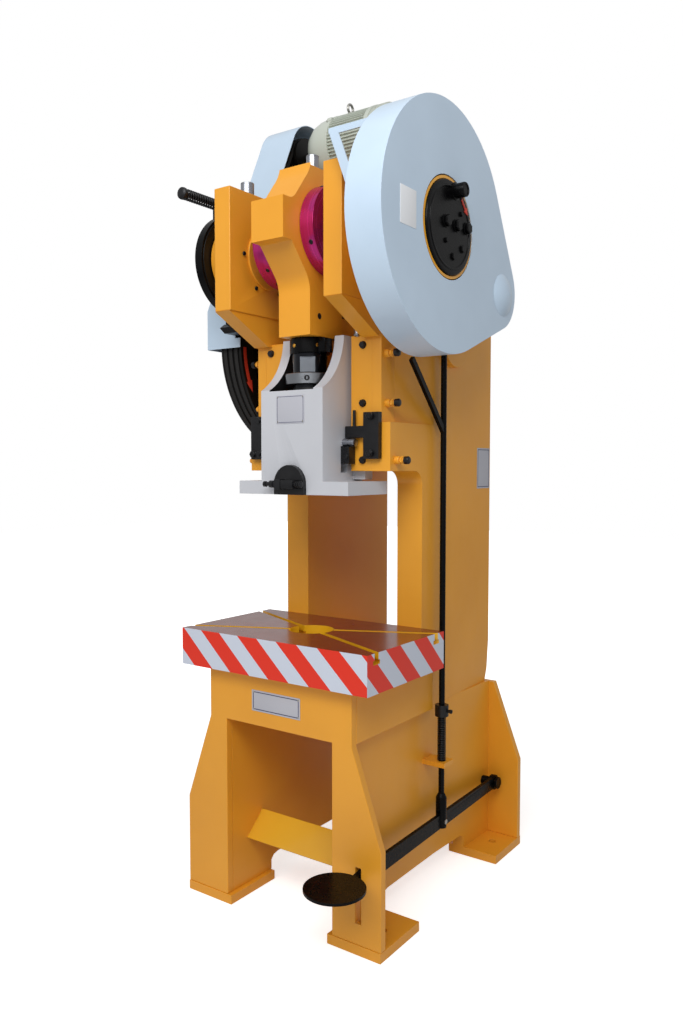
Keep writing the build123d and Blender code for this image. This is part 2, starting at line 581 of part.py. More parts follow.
top_end = (-190.0, 1690.0)
low_end = (ROD_Y, 1478.0)
along = math.atan2(top_end[1] - low_end[1], top_end[0] - low_end[0])
side_y = 8.5 * math.sin(along)
side_z = -8.5 * math.cos(along)
link = slab_x([(low_end[0] + side_y, low_end[1] + side_z), (top_end[0] + side_y, top_end[1] + side_z),
               (top_end[0] - side_y, top_end[1] - side_z), (low_end[0] - side_y, low_end[1] - side_z)],
              ROD_X - 6, ROD_X + 6)
link -= rod_z(ROD_X, ROD_Y, ROD_R, 1400, 1745)
link = link.solids().sort_by(SortBy.VOLUME)[-1]
save("pull_rod", rod, clevis, link)
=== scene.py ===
"""Mechanical stamping press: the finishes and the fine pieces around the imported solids."""
import json
import math

import bmesh
import bpy
from mathutils import Matrix, Vector


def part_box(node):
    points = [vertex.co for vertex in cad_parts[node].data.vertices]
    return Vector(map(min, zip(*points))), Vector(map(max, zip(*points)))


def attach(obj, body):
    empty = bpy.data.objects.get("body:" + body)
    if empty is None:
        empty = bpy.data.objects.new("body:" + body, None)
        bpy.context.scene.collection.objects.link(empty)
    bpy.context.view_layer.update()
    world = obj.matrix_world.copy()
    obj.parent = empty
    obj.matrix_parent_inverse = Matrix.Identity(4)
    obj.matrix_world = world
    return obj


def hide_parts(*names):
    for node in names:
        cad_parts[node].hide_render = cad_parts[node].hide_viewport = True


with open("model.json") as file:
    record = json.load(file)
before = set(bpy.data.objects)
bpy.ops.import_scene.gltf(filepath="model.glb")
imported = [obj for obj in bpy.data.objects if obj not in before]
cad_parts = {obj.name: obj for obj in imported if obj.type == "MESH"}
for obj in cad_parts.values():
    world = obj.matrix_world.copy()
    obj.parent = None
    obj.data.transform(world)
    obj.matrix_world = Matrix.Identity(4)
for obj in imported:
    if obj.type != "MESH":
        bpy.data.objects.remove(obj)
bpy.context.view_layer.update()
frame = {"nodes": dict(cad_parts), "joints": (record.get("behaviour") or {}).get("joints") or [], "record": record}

MM = 0.001
NODES = frame["nodes"]
RECORD = frame["record"]
BODY_OF = {n: body for body, names in RECORD["behaviour"]["bodies"].items() for n in names}


def box_mm(node):
    """The lowest and the highest corner of a solid at rest, in millimetres."""
    return [Vector(corner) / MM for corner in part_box(node)]


FRONT = Vector((0, -1, 0))
BACK = Vector((0, 1, 0))
RIGHT = Vector((1, 0, 0))
UP = Vector((0, 0, 1))

# The axes that the moving solids turn about: all run along X, as (y, z) in millimetres

AXES = {j["name"]: (j["pos_m"][1] / MM, j["pos_m"][2] / MM) for j in frame["joints"] if "pos_m" in j}
CRANK = AXES["crank_turn"]
CRANK_THROW = 50.0
CRANK_PIN = (CRANK[0], CRANK[1] + CRANK_THROW)
FLYWHEEL = AXES["flywheel_spin"]
MOTOR = AXES["motor_spin"]


# Camera, light and floor, in metres

LENS = 30.13
SENSOR_WIDTH = 36.0
CAMERA_AT = (1.6120, -2.3959, 1.3730)
CAMERA_LOOKS_DOWN = 3.115
CAMERA_LOOKS_LEFT = 35.54

ROOM_ON_MATT = 0.30
ROOM_IN_GLOSS = 0.28
ROOM_TO_WHITE = 0.70

FLOOR_HALF = 14.0
FLOOR_DROP = 0.0006
GLOW_NEAR = 0.60
GLOW_FAR = 1.1
GLOW_RISES_FROM = 1.0
GLOW_RISES_TO = 3.2


def set_camera():
    """The photograph's view: a 30 mm lens a little above half the press's height."""
    data = bpy.data.cameras.new("photo_camera")
    data.lens = LENS
    data.sensor_width = SENSOR_WIDTH
    camera = bpy.data.objects.new("photo_camera", data)
    camera.location = CAMERA_AT
    camera.rotation_euler = (math.radians(90 - CAMERA_LOOKS_DOWN), 0, math.radians(CAMERA_LOOKS_LEFT))
    bpy.context.collection.objects.link(camera)
    bpy.context.scene.camera = camera


def add_lamp(name, place, aim, size, power):
    """A rectangular lamp that looks from its place to its aim."""
    data = bpy.data.lights.new(name, "AREA")
    data.shape = "RECTANGLE"
    data.size = size[0]
    data.size_y = size[1]
    data.energy = power
    lamp = bpy.data.objects.new(name, data)
    lamp.location = place
    lamp.rotation_euler = (Vector(aim) - Vector(place)).to_track_quat("-Z", "Y").to_euler()
    bpy.context.collection.objects.link(lamp)


def add(tree, kind, settings=None, **inputs):
    """One node: its settings, then its inputs by name, or by place as i0 and i1, each a value or a socket."""
    node = tree.nodes.new(kind)
    for key, value in (settings or {}).items():
        setattr(node, key, value)
    for key, value in inputs.items():
        by_place = key[0] == "i" and key[1:].isdigit()
        socket = node.inputs[int(key[1:]) if by_place else key.replace("_", " ")]
        if isinstance(value, bpy.types.NodeSocket):
            tree.links.new(value, socket)
        else:
            socket.default_value = value
    return node


def linear(code):
    """sRGB hex to a linear colour."""
    parts = [int(code[i:i + 2], 16) / 255 for i in (1, 3, 5)]
    return tuple(c / 12.92 if c <= 0.04045 else ((c + 0.055) / 1.055) ** 2.4 for c in parts) + (1.0,)


def patch(size_mm):
    """The noise scale whose patches have that real size."""
    return 1000 / size_mm


def new_tree(owner):
    """The empty node tree of a world or a material."""
    owner.use_nodes = True
    owner.node_tree.nodes.clear()
    return owner.node_tree


def set_room():
    """A white room: full white to the camera, and a softer light on the press and in its metal."""
    world = bpy.data.worlds.new("soft_room")
    bpy.context.scene.world = world
    tree = new_tree(world)
    path = add(tree, "ShaderNodeLightPath")
    multiply_add = {"operation": "MULTIPLY_ADD"}
    gloss = add(tree, "ShaderNodeMath", multiply_add, i0=path.outputs["Is Glossy Ray"], i1=ROOM_IN_GLOSS,
                i2=ROOM_ON_MATT)
    clear = add(tree, "ShaderNodeMath", multiply_add, i0=path.outputs["Is Transmission Ray"],
                i1=ROOM_TO_WHITE, i2=gloss.outputs[0])
    strength = add(tree, "ShaderNodeMath", multiply_add, i0=path.outputs["Is Camera Ray"], i1=ROOM_TO_WHITE,
                   i2=clear.outputs[0])
    light = add(tree, "ShaderNodeBackground", Color=linear("#FFFFFF"), Strength=strength.outputs[0])
    add(tree, "ShaderNodeOutputWorld", Surface=light.outputs[0])


def set_floor():
    """A matt floor that keeps the shadow under the press and fades to white away from it."""
    mesh = bpy.data.meshes.new("floor")
    corners = [(-FLOOR_HALF, -FLOOR_HALF, 0), (FLOOR_HALF, -FLOOR_HALF, 0), (FLOOR_HALF, FLOOR_HALF, 0),
               (-FLOOR_HALF, FLOOR_HALF, 0)]
    mesh.from_pydata(corners, [], [(0, 1, 2, 3)])
    floor = bpy.data.objects.new("floor", mesh)
    bpy.context.collection.objects.link(floor)
    floor.location.z = -FLOOR_DROP
    paint = bpy.data.materials.new("white_floor")
    tree = new_tree(paint)
    path = add(tree, "ShaderNodeLightPath")
    matt = add(tree, "ShaderNodeBsdfDiffuse", Color=linear("#F7F7F7"))
    place = add(tree, "ShaderNodeTexCoord")
    away = add(tree, "ShaderNodeVectorMath", {"operation": "LENGTH"}, i0=place.outputs["Object"])
    rise = add(tree, "ShaderNodeMapRange", Value=away.outputs["Value"], From_Min=GLOW_RISES_FROM,
               From_Max=GLOW_RISES_TO, To_Min=GLOW_NEAR, To_Max=GLOW_FAR)
    white = add(tree, "ShaderNodeEmission", Color=linear("#FFFFFF"), Strength=rise.outputs[0])
    dark = add(tree, "ShaderNodeEmission", Color=linear("#000000"), Strength=0.0)
    glow = add(tree, "ShaderNodeMixShader", Fac=path.outputs["Is Camera Ray"], i1=dark.outputs[0],
               i2=white.outputs[0])
    total = add(tree, "ShaderNodeAddShader", i0=matt.outputs[0], i1=glow.outputs[0])
    add(tree, "ShaderNodeOutputMaterial", Surface=total.outputs[0])
    mesh.materials.append(paint)


set_camera()
set_room()
set_floor()
bpy.context.scene.view_settings.view_transform = "Standard"
add_lamp("front_window", (0.3, -3.9, 3.9), (0, -0.3, 2.1), (2.2, 2.2), 72)
add_lamp("right_high_window", (2.1, -2.9, 3.8), (0, -0.3, 2.0), (1.8, 1.8), 72)
add_lamp("low_front_fill", (0.9, -4.6, 1.2), (0, 0, 0.8), (2.4, 1.4), 4)
add_lamp("top_panel", (0.2, -0.6, 5.2), (0, 0, 1.0), (3.0, 3.0), 10)


# Materials: the patterns of each finish, with their sizes in millimetres

def new_material(name):
    mat = bpy.data.materials.new(name)
    return mat, new_tree(mat)


def sprayed_enamel(name, colour, shade, roughness=0.28, peel=0.10, coat=0.5):
    """Enamel sprayed on filled plate: a faint 4 mm orange peel on 71 mm waves, and a slow drift of tone."""
    mat, tree = new_material(name)
    place = add(tree, "ShaderNodeTexCoord")
    drift = add(tree, "ShaderNodeTexNoise", Vector=place.outputs["Object"], Scale=patch(312.5), Detail=3.0)
    tone = add(tree, "ShaderNodeMapRange", Value=drift.outputs["Fac"], From_Min=0.38, From_Max=0.66)
    tint = add(tree, "ShaderNodeMix", {"data_type": "RGBA"}, i0=tone.outputs[0], i6=linear(colour),
               i7=linear(shade))
    grain = add(tree, "ShaderNodeTexNoise", Vector=place.outputs["Object"], Scale=patch(4.0), Detail=2.0)
    wave = add(tree, "ShaderNodeTexNoise", Vector=place.outputs["Object"], Scale=patch(71.43), Detail=1.0)
    height = add(tree, "ShaderNodeMath", {"operation": "MULTIPLY_ADD"}, i0=wave.outputs["Fac"], i1=6.0,
                 i2=grain.outputs["Fac"])
    bump = add(tree, "ShaderNodeBump", Height=height.outputs[0], Distance=0.4 * MM, Strength=peel)
    smudge = add(tree, "ShaderNodeTexNoise", Vector=place.outputs["Object"], Scale=patch(45.45), Detail=4.0)
    rough = add(tree, "ShaderNodeMapRange", Value=smudge.outputs["Fac"], To_Min=roughness - 0.06,
                To_Max=roughness + 0.10)
    skin = add(tree, "ShaderNodeBsdfPrincipled", Base_Color=tint.outputs[2], Roughness=rough.outputs[0],
               IOR=1.5, Coat_Weight=coat, Coat_Roughness=0.12, Normal=bump.outputs[0])
    add(tree, "ShaderNodeOutputMaterial", Surface=skin.outputs[0])
    return mat


def black_oxide(name, colour="#101012", worn="#1D1D20", roughness=0.30, metallic=0.35, grain_mm=3.0,
                sheen=0.5):
    """Blackened or satin black painted steel: near black, with a shine broken by grain and by hand marks."""
    mat, tree = new_material(name)
    place = add(tree, "ShaderNodeTexCoord")
    grain = add(tree, "ShaderNodeTexNoise", Vector=place.outputs["Object"], Scale=patch(grain_mm), Detail=3.0)
    smudge = add(tree, "ShaderNodeTexNoise", Vector=place.outputs["Object"], Scale=patch(28.57), Detail=4.0)
    rough = add(tree, "ShaderNodeMapRange", Value=smudge.outputs["Fac"], To_Min=roughness - 0.10,
                To_Max=roughness + 0.16)
    tint = add(tree, "ShaderNodeMix", {"data_type": "RGBA"}, i0=smudge.outputs["Fac"], i6=linear(colour),
               i7=linear(worn))
    bump = add(tree, "ShaderNodeBump", Height=grain.outputs["Fac"], Distance=0.1 * MM, Strength=0.12)
    skin = add(tree, "ShaderNodeBsdfPrincipled", Base_Color=tint.outputs[2], Metallic=metallic,
               Specular_IOR_Level=sheen, Roughness=rough.outputs[0], Normal=bump.outputs[0])
    add(tree, "ShaderNodeOutputMaterial", Surface=skin.outputs[0])
    return mat


def turned_metal(name, colour, dark, roughness, ring_mm, axis_y, axis_z, metallic=1.0):
    """Metal turned about a line along X. Its rings stretch the shine, and are drawn coarse enough to show."""
    mat, tree = new_material(name)
    place = add(tree, "ShaderNodeTexCoord")
    shift = add(tree, "ShaderNodeVectorMath", {"operation": "SUBTRACT"}, i0=place.outputs["Object"],
                i1=(0, axis_y * MM, axis_z * MM))
    flat = add(tree, "ShaderNodeVectorMath", {"operation": "MULTIPLY"}, i0=shift.outputs[0], i1=(0, 1, 1))
    radius = add(tree, "ShaderNodeVectorMath", {"operation": "LENGTH"}, i0=flat.outputs[0])
    split = add(tree, "ShaderNodeSeparateXYZ", Vector=place.outputs["Object"])
    reach = add(tree, "ShaderNodeMath", {"operation": "ADD"}, i0=radius.outputs["Value"],
                i1=split.outputs["X"])
    count = add(tree, "ShaderNodeMath", {"operation": "MULTIPLY"}, i0=reach.outputs[0], i1=patch(ring_mm))
    rings = add(tree, "ShaderNodeTexNoise", {"noise_dimensions": "1D"}, W=count.outputs[0], Scale=1.0,
                Detail=2.0)
    tint = add(tree, "ShaderNodeMix", {"data_type": "RGBA"}, i0=rings.outputs["Fac"], i6=linear(dark),
               i7=linear(colour))
    rough = add(tree, "ShaderNodeMapRange", Value=rings.outputs["Fac"], To_Min=roughness - 0.08,
                To_Max=roughness + 0.12)
    bump = add(tree, "ShaderNodeBump", Height=rings.outputs["Fac"], Distance=0.06 * MM, Strength=0.2)
    skin = add(tree, "ShaderNodeBsdfPrincipled", Base_Color=tint.outputs[2], Metallic=metallic,
               Roughness=rough.outputs[0], Normal=bump.outputs[0])
    add(tree, "ShaderNodeOutputMaterial", Surface=skin.outputs[0])
    return mat


def wiped_metal(name, colour, roughness, scratch=0.3):
    """Plated, ground or milled metal: 11 mm wiping marks make the shine uneven."""
    mat, tree = new_material(name)
    place = add(tree, "ShaderNodeTexCoord")
    marks = add(tree, "ShaderNodeTexNoise", Vector=place.outputs["Object"], Scale=patch(11.11), Detail=5.0)
    rough = add(tree, "ShaderNodeMapRange", Value=marks.outputs["Fac"], To_Min=roughness * 0.6,
                To_Max=roughness * 1.6)
    bump = add(tree, "ShaderNodeBump", Height=marks.outputs["Fac"], Distance=0.1 * MM, Strength=scratch)
    skin = add(tree, "ShaderNodeBsdfPrincipled", Base_Color=linear(colour), Metallic=1.0,
               Roughness=rough.outputs[0], Normal=bump.outputs[0])
    add(tree, "ShaderNodeOutputMaterial", Surface=skin.outputs[0])
    return mat


def hazard_tape(name, first, second, first_share=0.51):
    """Printed vinyl tape: slanting bands in two colours, laid by the piece's mapping, on 33 mm ripples."""
    mat, tree = new_material(name)
    lay = add(tree, "ShaderNodeUVMap", {"uv_map": "tape"})
    split = add(tree, "ShaderNodeSeparateXYZ", Vector=lay.outputs[0])
    turn = add(tree, "ShaderNodeMath", {"operation": "FRACT"}, i0=split.outputs["X"])
    step = add(tree, "ShaderNodeMath", {"operation": "LESS_THAN"}, i0=turn.outputs[0], i1=first_share)
    tint = add(tree, "ShaderNodeMix", {"data_type": "RGBA"}, i0=step.outputs[0], i6=linear(second),
               i7=linear(first))
    place = add(tree, "ShaderNodeTexCoord")
    ripple = add(tree, "ShaderNodeTexNoise", Vector=place.outputs["Object"], Scale=patch(33.33), Detail=2.0)
    bump = add(tree, "ShaderNodeBump", Height=ripple.outputs["Fac"], Distance=0.6 * MM, Strength=0.12)
    skin = add(tree, "ShaderNodeBsdfPrincipled", Base_Color=tint.outputs[2], Roughness=0.32, IOR=1.5,
               Normal=bump.outputs[0])
    add(tree, "ShaderNodeOutputMaterial", Surface=skin.outputs[0])
    return mat


def dusty_rubber(name, colour, dusted):
    """Belt rubber: dull black with a 17 mm bloom of dust."""
    mat, tree = new_material(name)
    place = add(tree, "ShaderNodeTexCoord")
    dust = add(tree, "ShaderNodeTexNoise", Vector=place.outputs["Object"], Scale=patch(16.67), Detail=4.0)
    tint = add(tree, "ShaderNodeMix", {"data_type": "RGBA"}, i0=dust.outputs["Fac"], i6=linear(colour),
               i7=linear(dusted))
    bump = add(tree, "ShaderNodeBump", Height=dust.outputs["Fac"], Distance=0.3 * MM, Strength=0.3)
    skin = add(tree, "ShaderNodeBsdfPrincipled", Base_Color=tint.outputs[2], Roughness=0.75,
               Normal=bump.outputs[0])
    add(tree, "ShaderNodeOutputMaterial", Surface=skin.outputs[0])
    return mat


# Air-dried machine enamel on plate and castings: an even warm orange with a satin sheen
MACHINE_ENAMEL = sprayed_enamel("machine_enamel_yellow_orange", "#EAA22C", "#E49C28", 0.38, 0.06, 0.06)
# The same enamel in light grey on the ram, a touch glossier
RAM_ENAMEL = sprayed_enamel("ram_enamel_light_grey", "#C6C8CE", "#BFC1C7", 0.36, 0.06, 0.1)
# Enamel on rolled sheet: smoother than on castings, so the guards carry long soft highlights
GUARD_ENAMEL = sprayed_enamel("sheet_enamel_pale_blue", "#C5D9EC", "#BED2E5", 0.32, 0.04, 0.2)
# Enamel on the motor's rough cast ribs: more peel than on sheet
MOTOR_ENAMEL = sprayed_enamel("motor_enamel_grey_green", "#C6CCC2", "#B9C0B4", 0.36, 0.15, 0.2)
# The pressed fan cowl's flat paint: no varnish, so the slots read clearly
COWL_PAINT = sprayed_enamel("fan_cowl_grey_green", "#B6BCB0", "#ACB2A6", 0.45, 0.1, 0.0)
# Brushed-in yellow that fills the slots and shows as thin lines on the brown top
SLOT_YELLOW = sprayed_enamel("slot_paint_yellow", "#E2AC16", "#D39C10", 0.38)
# The chute's bent sheet: yellower than the frame, so that it stands out in the dark leg opening
CHUTE_ENAMEL = sprayed_enamel("chute_enamel_yellow", "#E6AE22", "#DDA41C", 0.38)
# Paint on the big gear's web, seen as a bright ring between guard and clutch disc
GEAR_PAINT = sprayed_enamel("gear_web_paint_yellow", "#F4AE12", "#E8A00C", 0.4)
# Matt signal paint laid through a stencil: a flat red with no shine
SIGNAL_RED = sprayed_enamel("signal_red_arrow", "#E0442E", "#D23A26", 0.5, 0.05, 0.0)
# Rust-proof lacquer over the milled top: deep brown and clear enough to mirror the head
BOLSTER_LACQUER = sprayed_enamel("bolster_lacquer_red_brown", "#7A2A14", "#6A2210", 0.22, 0.04, 0.25)
# Anodised sheet seen from the front: a flat satin grey, without the glitter of bare metal
ALUMINIUM = sprayed_enamel("satin_anodised_plate", "#B9BAC2", "#B2B3BC", 0.42, 0.05, 0.0)
# Printed ink: the plates' dark blue border
PLATE_BORDER = sprayed_enamel("printed_border_navy", "#30345C", "#2A2E54", 0.45, 0.02, 0.0)
# Plain white vinyl: the brightest flat patch on the guard
LABEL_VINYL = sprayed_enamel("blank_white_vinyl", "#F1F3F6", "#E9ECF0", 0.35, 0.02, 0.2)
# Blackened bolts and plates: black with a soft half-metal shine; the same black also fills the cowl's slots as
# painted shade
BLACK_STEEL_AND_SLOT_SHADE = black_oxide("black_oxide_steel_and_slot_shade")
# Gloss paint on discs and rods: deep black with only a thin highlight
BLACK_PAINT = black_oxide("black_gloss_paint", "#060607", "#0A0A0B", 0.24, 0.0, 8.0, 0.1)
# Painted cast iron of the wheels: a browner black with a broader highlight
BLACK_CAST = black_oxide("black_cast_wheel", "#0C0B0A", "#141210", 0.34, 0.0, 5.0, 0.2)
# Near-black for the ram's slot walls and the oil hole: partly oiled bare casting, partly painted shade that stands
# for the depth of the slot and the hole
OILED_CAST_AND_PAINTED_SHADE = black_oxide("oiled_casting_and_painted_shade", "#0B0B0C", "#151516", 0.45, 0.0, 4.0)
# Blued steel of the screw: a dark mirror with a cold tone
BLUED_STEEL = black_oxide("blued_screw_steel", "#1C1D21", "#2C2D31", 0.20, 0.9, 5.0)
# Chrome plate on the oil cups: bright streaks next to dark ones
CHROME = wiped_metal("chrome_plate", "#9EA1A8", 0.28, 0.03)
# Zinc-plated steel: a pale grey with a dull gleam
ZINC = wiped_metal("zinc_steel", "#A9A8A2", 0.28)
# Turned brass of the ring's small screws: a warm dot on black
BRASS = wiped_metal("brass_screw", "#C79A45", 0.25)
# The screw's milled flats: a plain grey panel in the blued steel
MILLED_STEEL = wiped_metal("milled_wrench_flat", "#6E7278", 0.30, 0.15)
# The seat ring's ground steel: grey, with a highlight round its side
GROUND_STEEL = wiped_metal("ground_ring_steel", "#85888D", 0.3, 0.1)
# Clear magenta lacquer over turned steel: coloured metal with rings that stretch the light
CRANK_LACQUER = turned_metal("magenta_lacquer_over_turned_steel", "#D03A96", "#A6205E", 0.20, 9.0, *CRANK_PIN,
                             0.72)
# Oiled gear steel: a brownish grey in fine darker and lighter rings
GEAR_STEEL = turned_metal("gear_steel_oiled", "#8B8780", "#4E4A44", 0.34, 1.6, *CRANK)
# Ground shafts: pale steel with fine rings
SHAFT_STEEL = turned_metal("ground_shaft_steel", "#A6A6A4", "#7C7C7A", 0.22, 1.0, *FLYWHEEL)
# Red and white hazard tape, half glossy
TAPE = hazard_tape("hazard_tape_red_white", "#E12C10", "#CBD2E0")
# The belts' rubber, the dullest black on the press
BELT_RUBBER = dusty_rubber("belt_rubber", "#0E0D0D", "#1B1917")


# Mesh tools; sizes in millimetres, turned to metres when a piece is made

SHARP = 34
SMOOTH_BELOW = 32


def dress(mesh, material):
    """Gives a mesh one material, or several by index, in place of what it had."""
    mesh.materials.clear()
    for mat in material if isinstance(material, (list, tuple)) else [material]:
        mesh.materials.append(mat)


def smooth(mesh, angle):
    mesh.shade_smooth()
    mesh.set_sharp_from_angle(angle=math.radians(angle))


def settle(obj, body, node=None):
    """Puts a piece on its body, in the place of the solid that it stands for."""
    bpy.context.collection.objects.link(obj)
    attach(obj, body)
    if node:
        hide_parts(node)
    return obj


def make_piece(name, bm, body, material, node=None, angle=SMOOTH_BELOW):
    """A new piece from a mesh in millimetres."""
    mesh = bpy.data.meshes.new(name)
    dress(mesh, material)
    bm.normal_update()
    bm.to_mesh(mesh)
    bm.free()
    mesh.transform(Matrix.Scale(MM, 4))
    smooth(mesh, angle)
    return settle(bpy.data.objects.new(name, mesh), body, node)


def stand_for(name, bm, node, material, angle=SMOOTH_BELOW):
    """A new piece in the place of a solid, with its body and its material slot."""
    return make_piece(name, bm, BODY_OF[node], material, node, angle)


def set_on(origin, axis):
    """The place of a point, with its own Z along an axis."""
    return Matrix.Translation(origin) @ UP.rotation_difference(Vector(axis)).to_matrix().to_4x4()


def spot(bm, place, r, turn, along=0.0):
    """A point at a radius and a turn about the place's own Z."""
    return bm.verts.new(place @ Vector((r * math.cos(turn), r * math.sin(turn), along)))


def ring(bm, place, r, along, steps):
    """The points of a circle about the place's own Z."""
    return [spot(bm, place, r, 2 * math.pi * k / steps, along) for k in range(steps)]


def skin_over(bm, rings, mat=0):
    """Joins rings of one count of points into a closed skin, from the first ring to the last."""
    faces = []
    for low, high in zip(rings, rings[1:]):
        for k in range(len(low)):
            n = (k + 1) % len(low)
            faces.append(bm.faces.new((low[k], low[n], high[n], high[k])))
    faces.append(bm.faces.new(list(reversed(rings[0]))))
    faces.append(bm.faces.new(rings[-1]))
    for face in faces:
        face.material_index = mat
    return faces


def lathe(bm, profile, origin, axis, steps=40, mat=0):
    """Turns (radius, along) points about an axis, with both ends closed."""
    place = set_on(origin, axis)
    skin_over(bm, [ring(bm, place, r, along, steps) for r, along in profile], mat)


def block(bm, low, high, edge=0.0, mat=0):
    """A box by its corners, with its edges rounded by a bevel."""
    low = Vector(low)
    high = Vector(high)
    place = Matrix.Translation((low + high) / 2) @ Matrix.Diagonal((*(high - low), 1.0))
    made = bmesh.ops.create_cube(bm, size=1.0, matrix=place)["verts"]
    edges = list(dict.fromkeys(e for v in made for e in v.link_edges))
    for face in {f for v in made for f in v.link_faces}:
        face.material_index = mat
    if edge:
        bmesh.ops.bevel(bm, geom=edges, offset=edge, segments=2, profile=0.6, affect="EDGES", material=mat)


def hexagon(bm, centre, axis, length, across, chamfer=1.0, mat=0):
    """A six-sided head or nut: its length and its size across the flats, with chamfered ends."""
    place = set_on(centre, axis)
    outer = across / 2 / math.cos(math.pi / 6)
    profile = ((outer - chamfer, 0), (outer, chamfer), (outer, length - chamfer), (outer - chamfer, length))
    skin_over(bm, [ring(bm, place, r, along, 6) for r, along in profile], mat)


def helix(bm, centre, axis, coil_r, wire_r, length, turns, steps=20, around=8):
    """A coil of round wire about an axis, from its first end."""
    place = set_on(centre, axis)
    count = int(turns * steps)
    climb = length / turns / (2 * math.pi * coil_r)
    rings = []
    for i in range(count + 1):
        t = 2 * math.pi * i / steps
        side = Vector((math.cos(t), math.sin(t), 0))
        up = Vector((-math.sin(t), math.cos(t), climb)).normalized().cross(side)
        mid = side * coil_r + UP * (length * i / count)
        wire = []
        for k in range(around):
            u = 2 * math.pi * k / around
            wire.append(bm.verts.new(place @ (mid + wire_r * (math.cos(u) * side + math.sin(u) * up))))
        rings.append(wire)
    skin_over(bm, rings)


def drop_parts(bm, unwanted):
    """Takes out each loose part whose centre, in millimetres, the test names."""
    seen = set()
    gone = []
    for start in bm.verts:
        if start in seen:
            continue
        part = {start}
        reached = [start]
        while reached:
            v = reached.pop()
            for e in v.link_edges:
                w = e.other_vert(v)
                if w not in part:
                    part.add(w)
                    reached.append(w)
        seen |= part
        if unwanted(sum((v.co for v in part), Vector()) / len(part) / MM):
            gone += part
    bmesh.ops.delete(bm, geom=gone, context="VERTS")


def ease(obj, width, segments=2):
    """A small round on every sharp edge, so that the edges catch the light."""
    bevel = obj.modifiers.new("eased_edges", "BEVEL")
    bevel.width = width * MM
    bevel.segments = segments
    bevel.limit_method = "ANGLE"
    bevel.angle_limit = math.radians(SHARP)
    bevel.harden_normals = True
    return obj


def soft_outline(corners, steps=6):
    """The points of an outline of (a, b, bend) corners, each rounded over its bend on both sides."""
    points = []
    for k, (a, b, bend) in enumerate(corners):
        here = Vector((a, b))
        if not bend:
            points.append(here)
            continue
        before = (Vector(corners[k - 1][:2]) - here).normalized() * bend
        after = (Vector(corners[(k + 1) % len(corners)][:2]) - here).normalized() * bend
        for i in range(steps + 1):
            t = i / steps
            points.append(here + before * (1 - t) ** 2 + after * t ** 2)
    return points


def parted(points, reach):
    """The same closed outline with its long sides split into steps no longer than reach."""
    result = []
    for k, here in enumerate(points):
        ahead = points[(k + 1) % len(points)]
        count = max(1, math.ceil((ahead - here).length / reach))
        result += [here.lerp(ahead, i / count) for i in range(count)]
    return result


def slab(bm, outline, front, back):
    """A plate by its (x, z) outline, from one place along Y to another."""
    rings = [[bm.verts.new((x, y, z)) for x, z in outline] for y in (front, back)]
    bmesh.ops.recalc_face_normals(bm, faces=skin_over(bm, rings))


def rounded(node, material, width, sort=None, without=None):
    """The node's solid with its sharp edges eased, as a painted casting's are."""
    bm = bmesh.new()
    bm.from_mesh(NODES[node].data)
    bmesh.ops.remove_doubles(bm, verts=bm.verts, dist=0.02 * MM)
    if without:
        drop_parts(bm, without)
    bmesh.ops.dissolve_limit(bm, angle_limit=math.radians(0.8), verts=bm.verts, edges=bm.edges)
    mesh = bpy.data.meshes.new(node + "_eased")
    bm.to_mesh(mesh)
    bm.free()
    dress(mesh, material)
    for face in mesh.polygons:
        face.material_index = sort(face.center / MM, face.normal) if sort else 0
    smooth(mesh, SHARP)
    obj = bpy.data.objects.new(node + "_eased", mesh)
    settle(obj, BODY_OF[node], node)
    return ease(obj, width)


# Plates and castings with eased edges

for node, width in (("side_frame_left", 3.0), ("side_frame_right", 3.0), ("leg_plates", 2.5),
                    ("foot_pads", 2.5), ("bed_block", 3.0), ("head_plates", 2.0), ("gib_left", 1.5),
                    ("gib_right", 1.5), ("bearing_block_left", 3.0), ("bearing_block_right", 3.0),
                    ("flywheel_bearings", 2.0), ("layshaft_bearings", 2.0), ("rod_guide", 1.0),
                    ("motor_platform", 1.5)):
    rounded(node, MACHINE_ENAMEL, width)

CHEEKS_FROM = -131
CHEEKS_TO = 109


def crank_sort(centre, normal):
    """Lacquer on the two cheeks and the pin between them, bare steel on the shaft's ends."""
    return 0 if CHEEKS_FROM < centre.x < CHEEKS_TO else 1


rounded("crankshaft", [CRANK_LACQUER, SHAFT_STEEL], 1.5, crank_sort)

RAM_SLOT_HALF = 84.5
RAM_SLOT_FLOOR = 1594


def ram_sort(centre, normal):
    """The open slot's walls and floor get the near-black of oiled casting, which is also painted shade of the deep
    slot; the rest of the ram is enamelled.
    """
    in_slot = abs(centre.x) < RAM_SLOT_HALF and centre.z > RAM_SLOT_FLOOR
    return 1 if in_slot and (abs(normal.x) > 0.9 or normal.z > 0.9) else 0


def is_clamp_stud(centre):
    """The clamp's plain stud, which clamp_screw takes the place of."""
    return centre.x < -50


def is_front_stay(centre):
    """The plain strip in front of the cheek, which guard_stay takes the place of."""
    return centre.y < -380


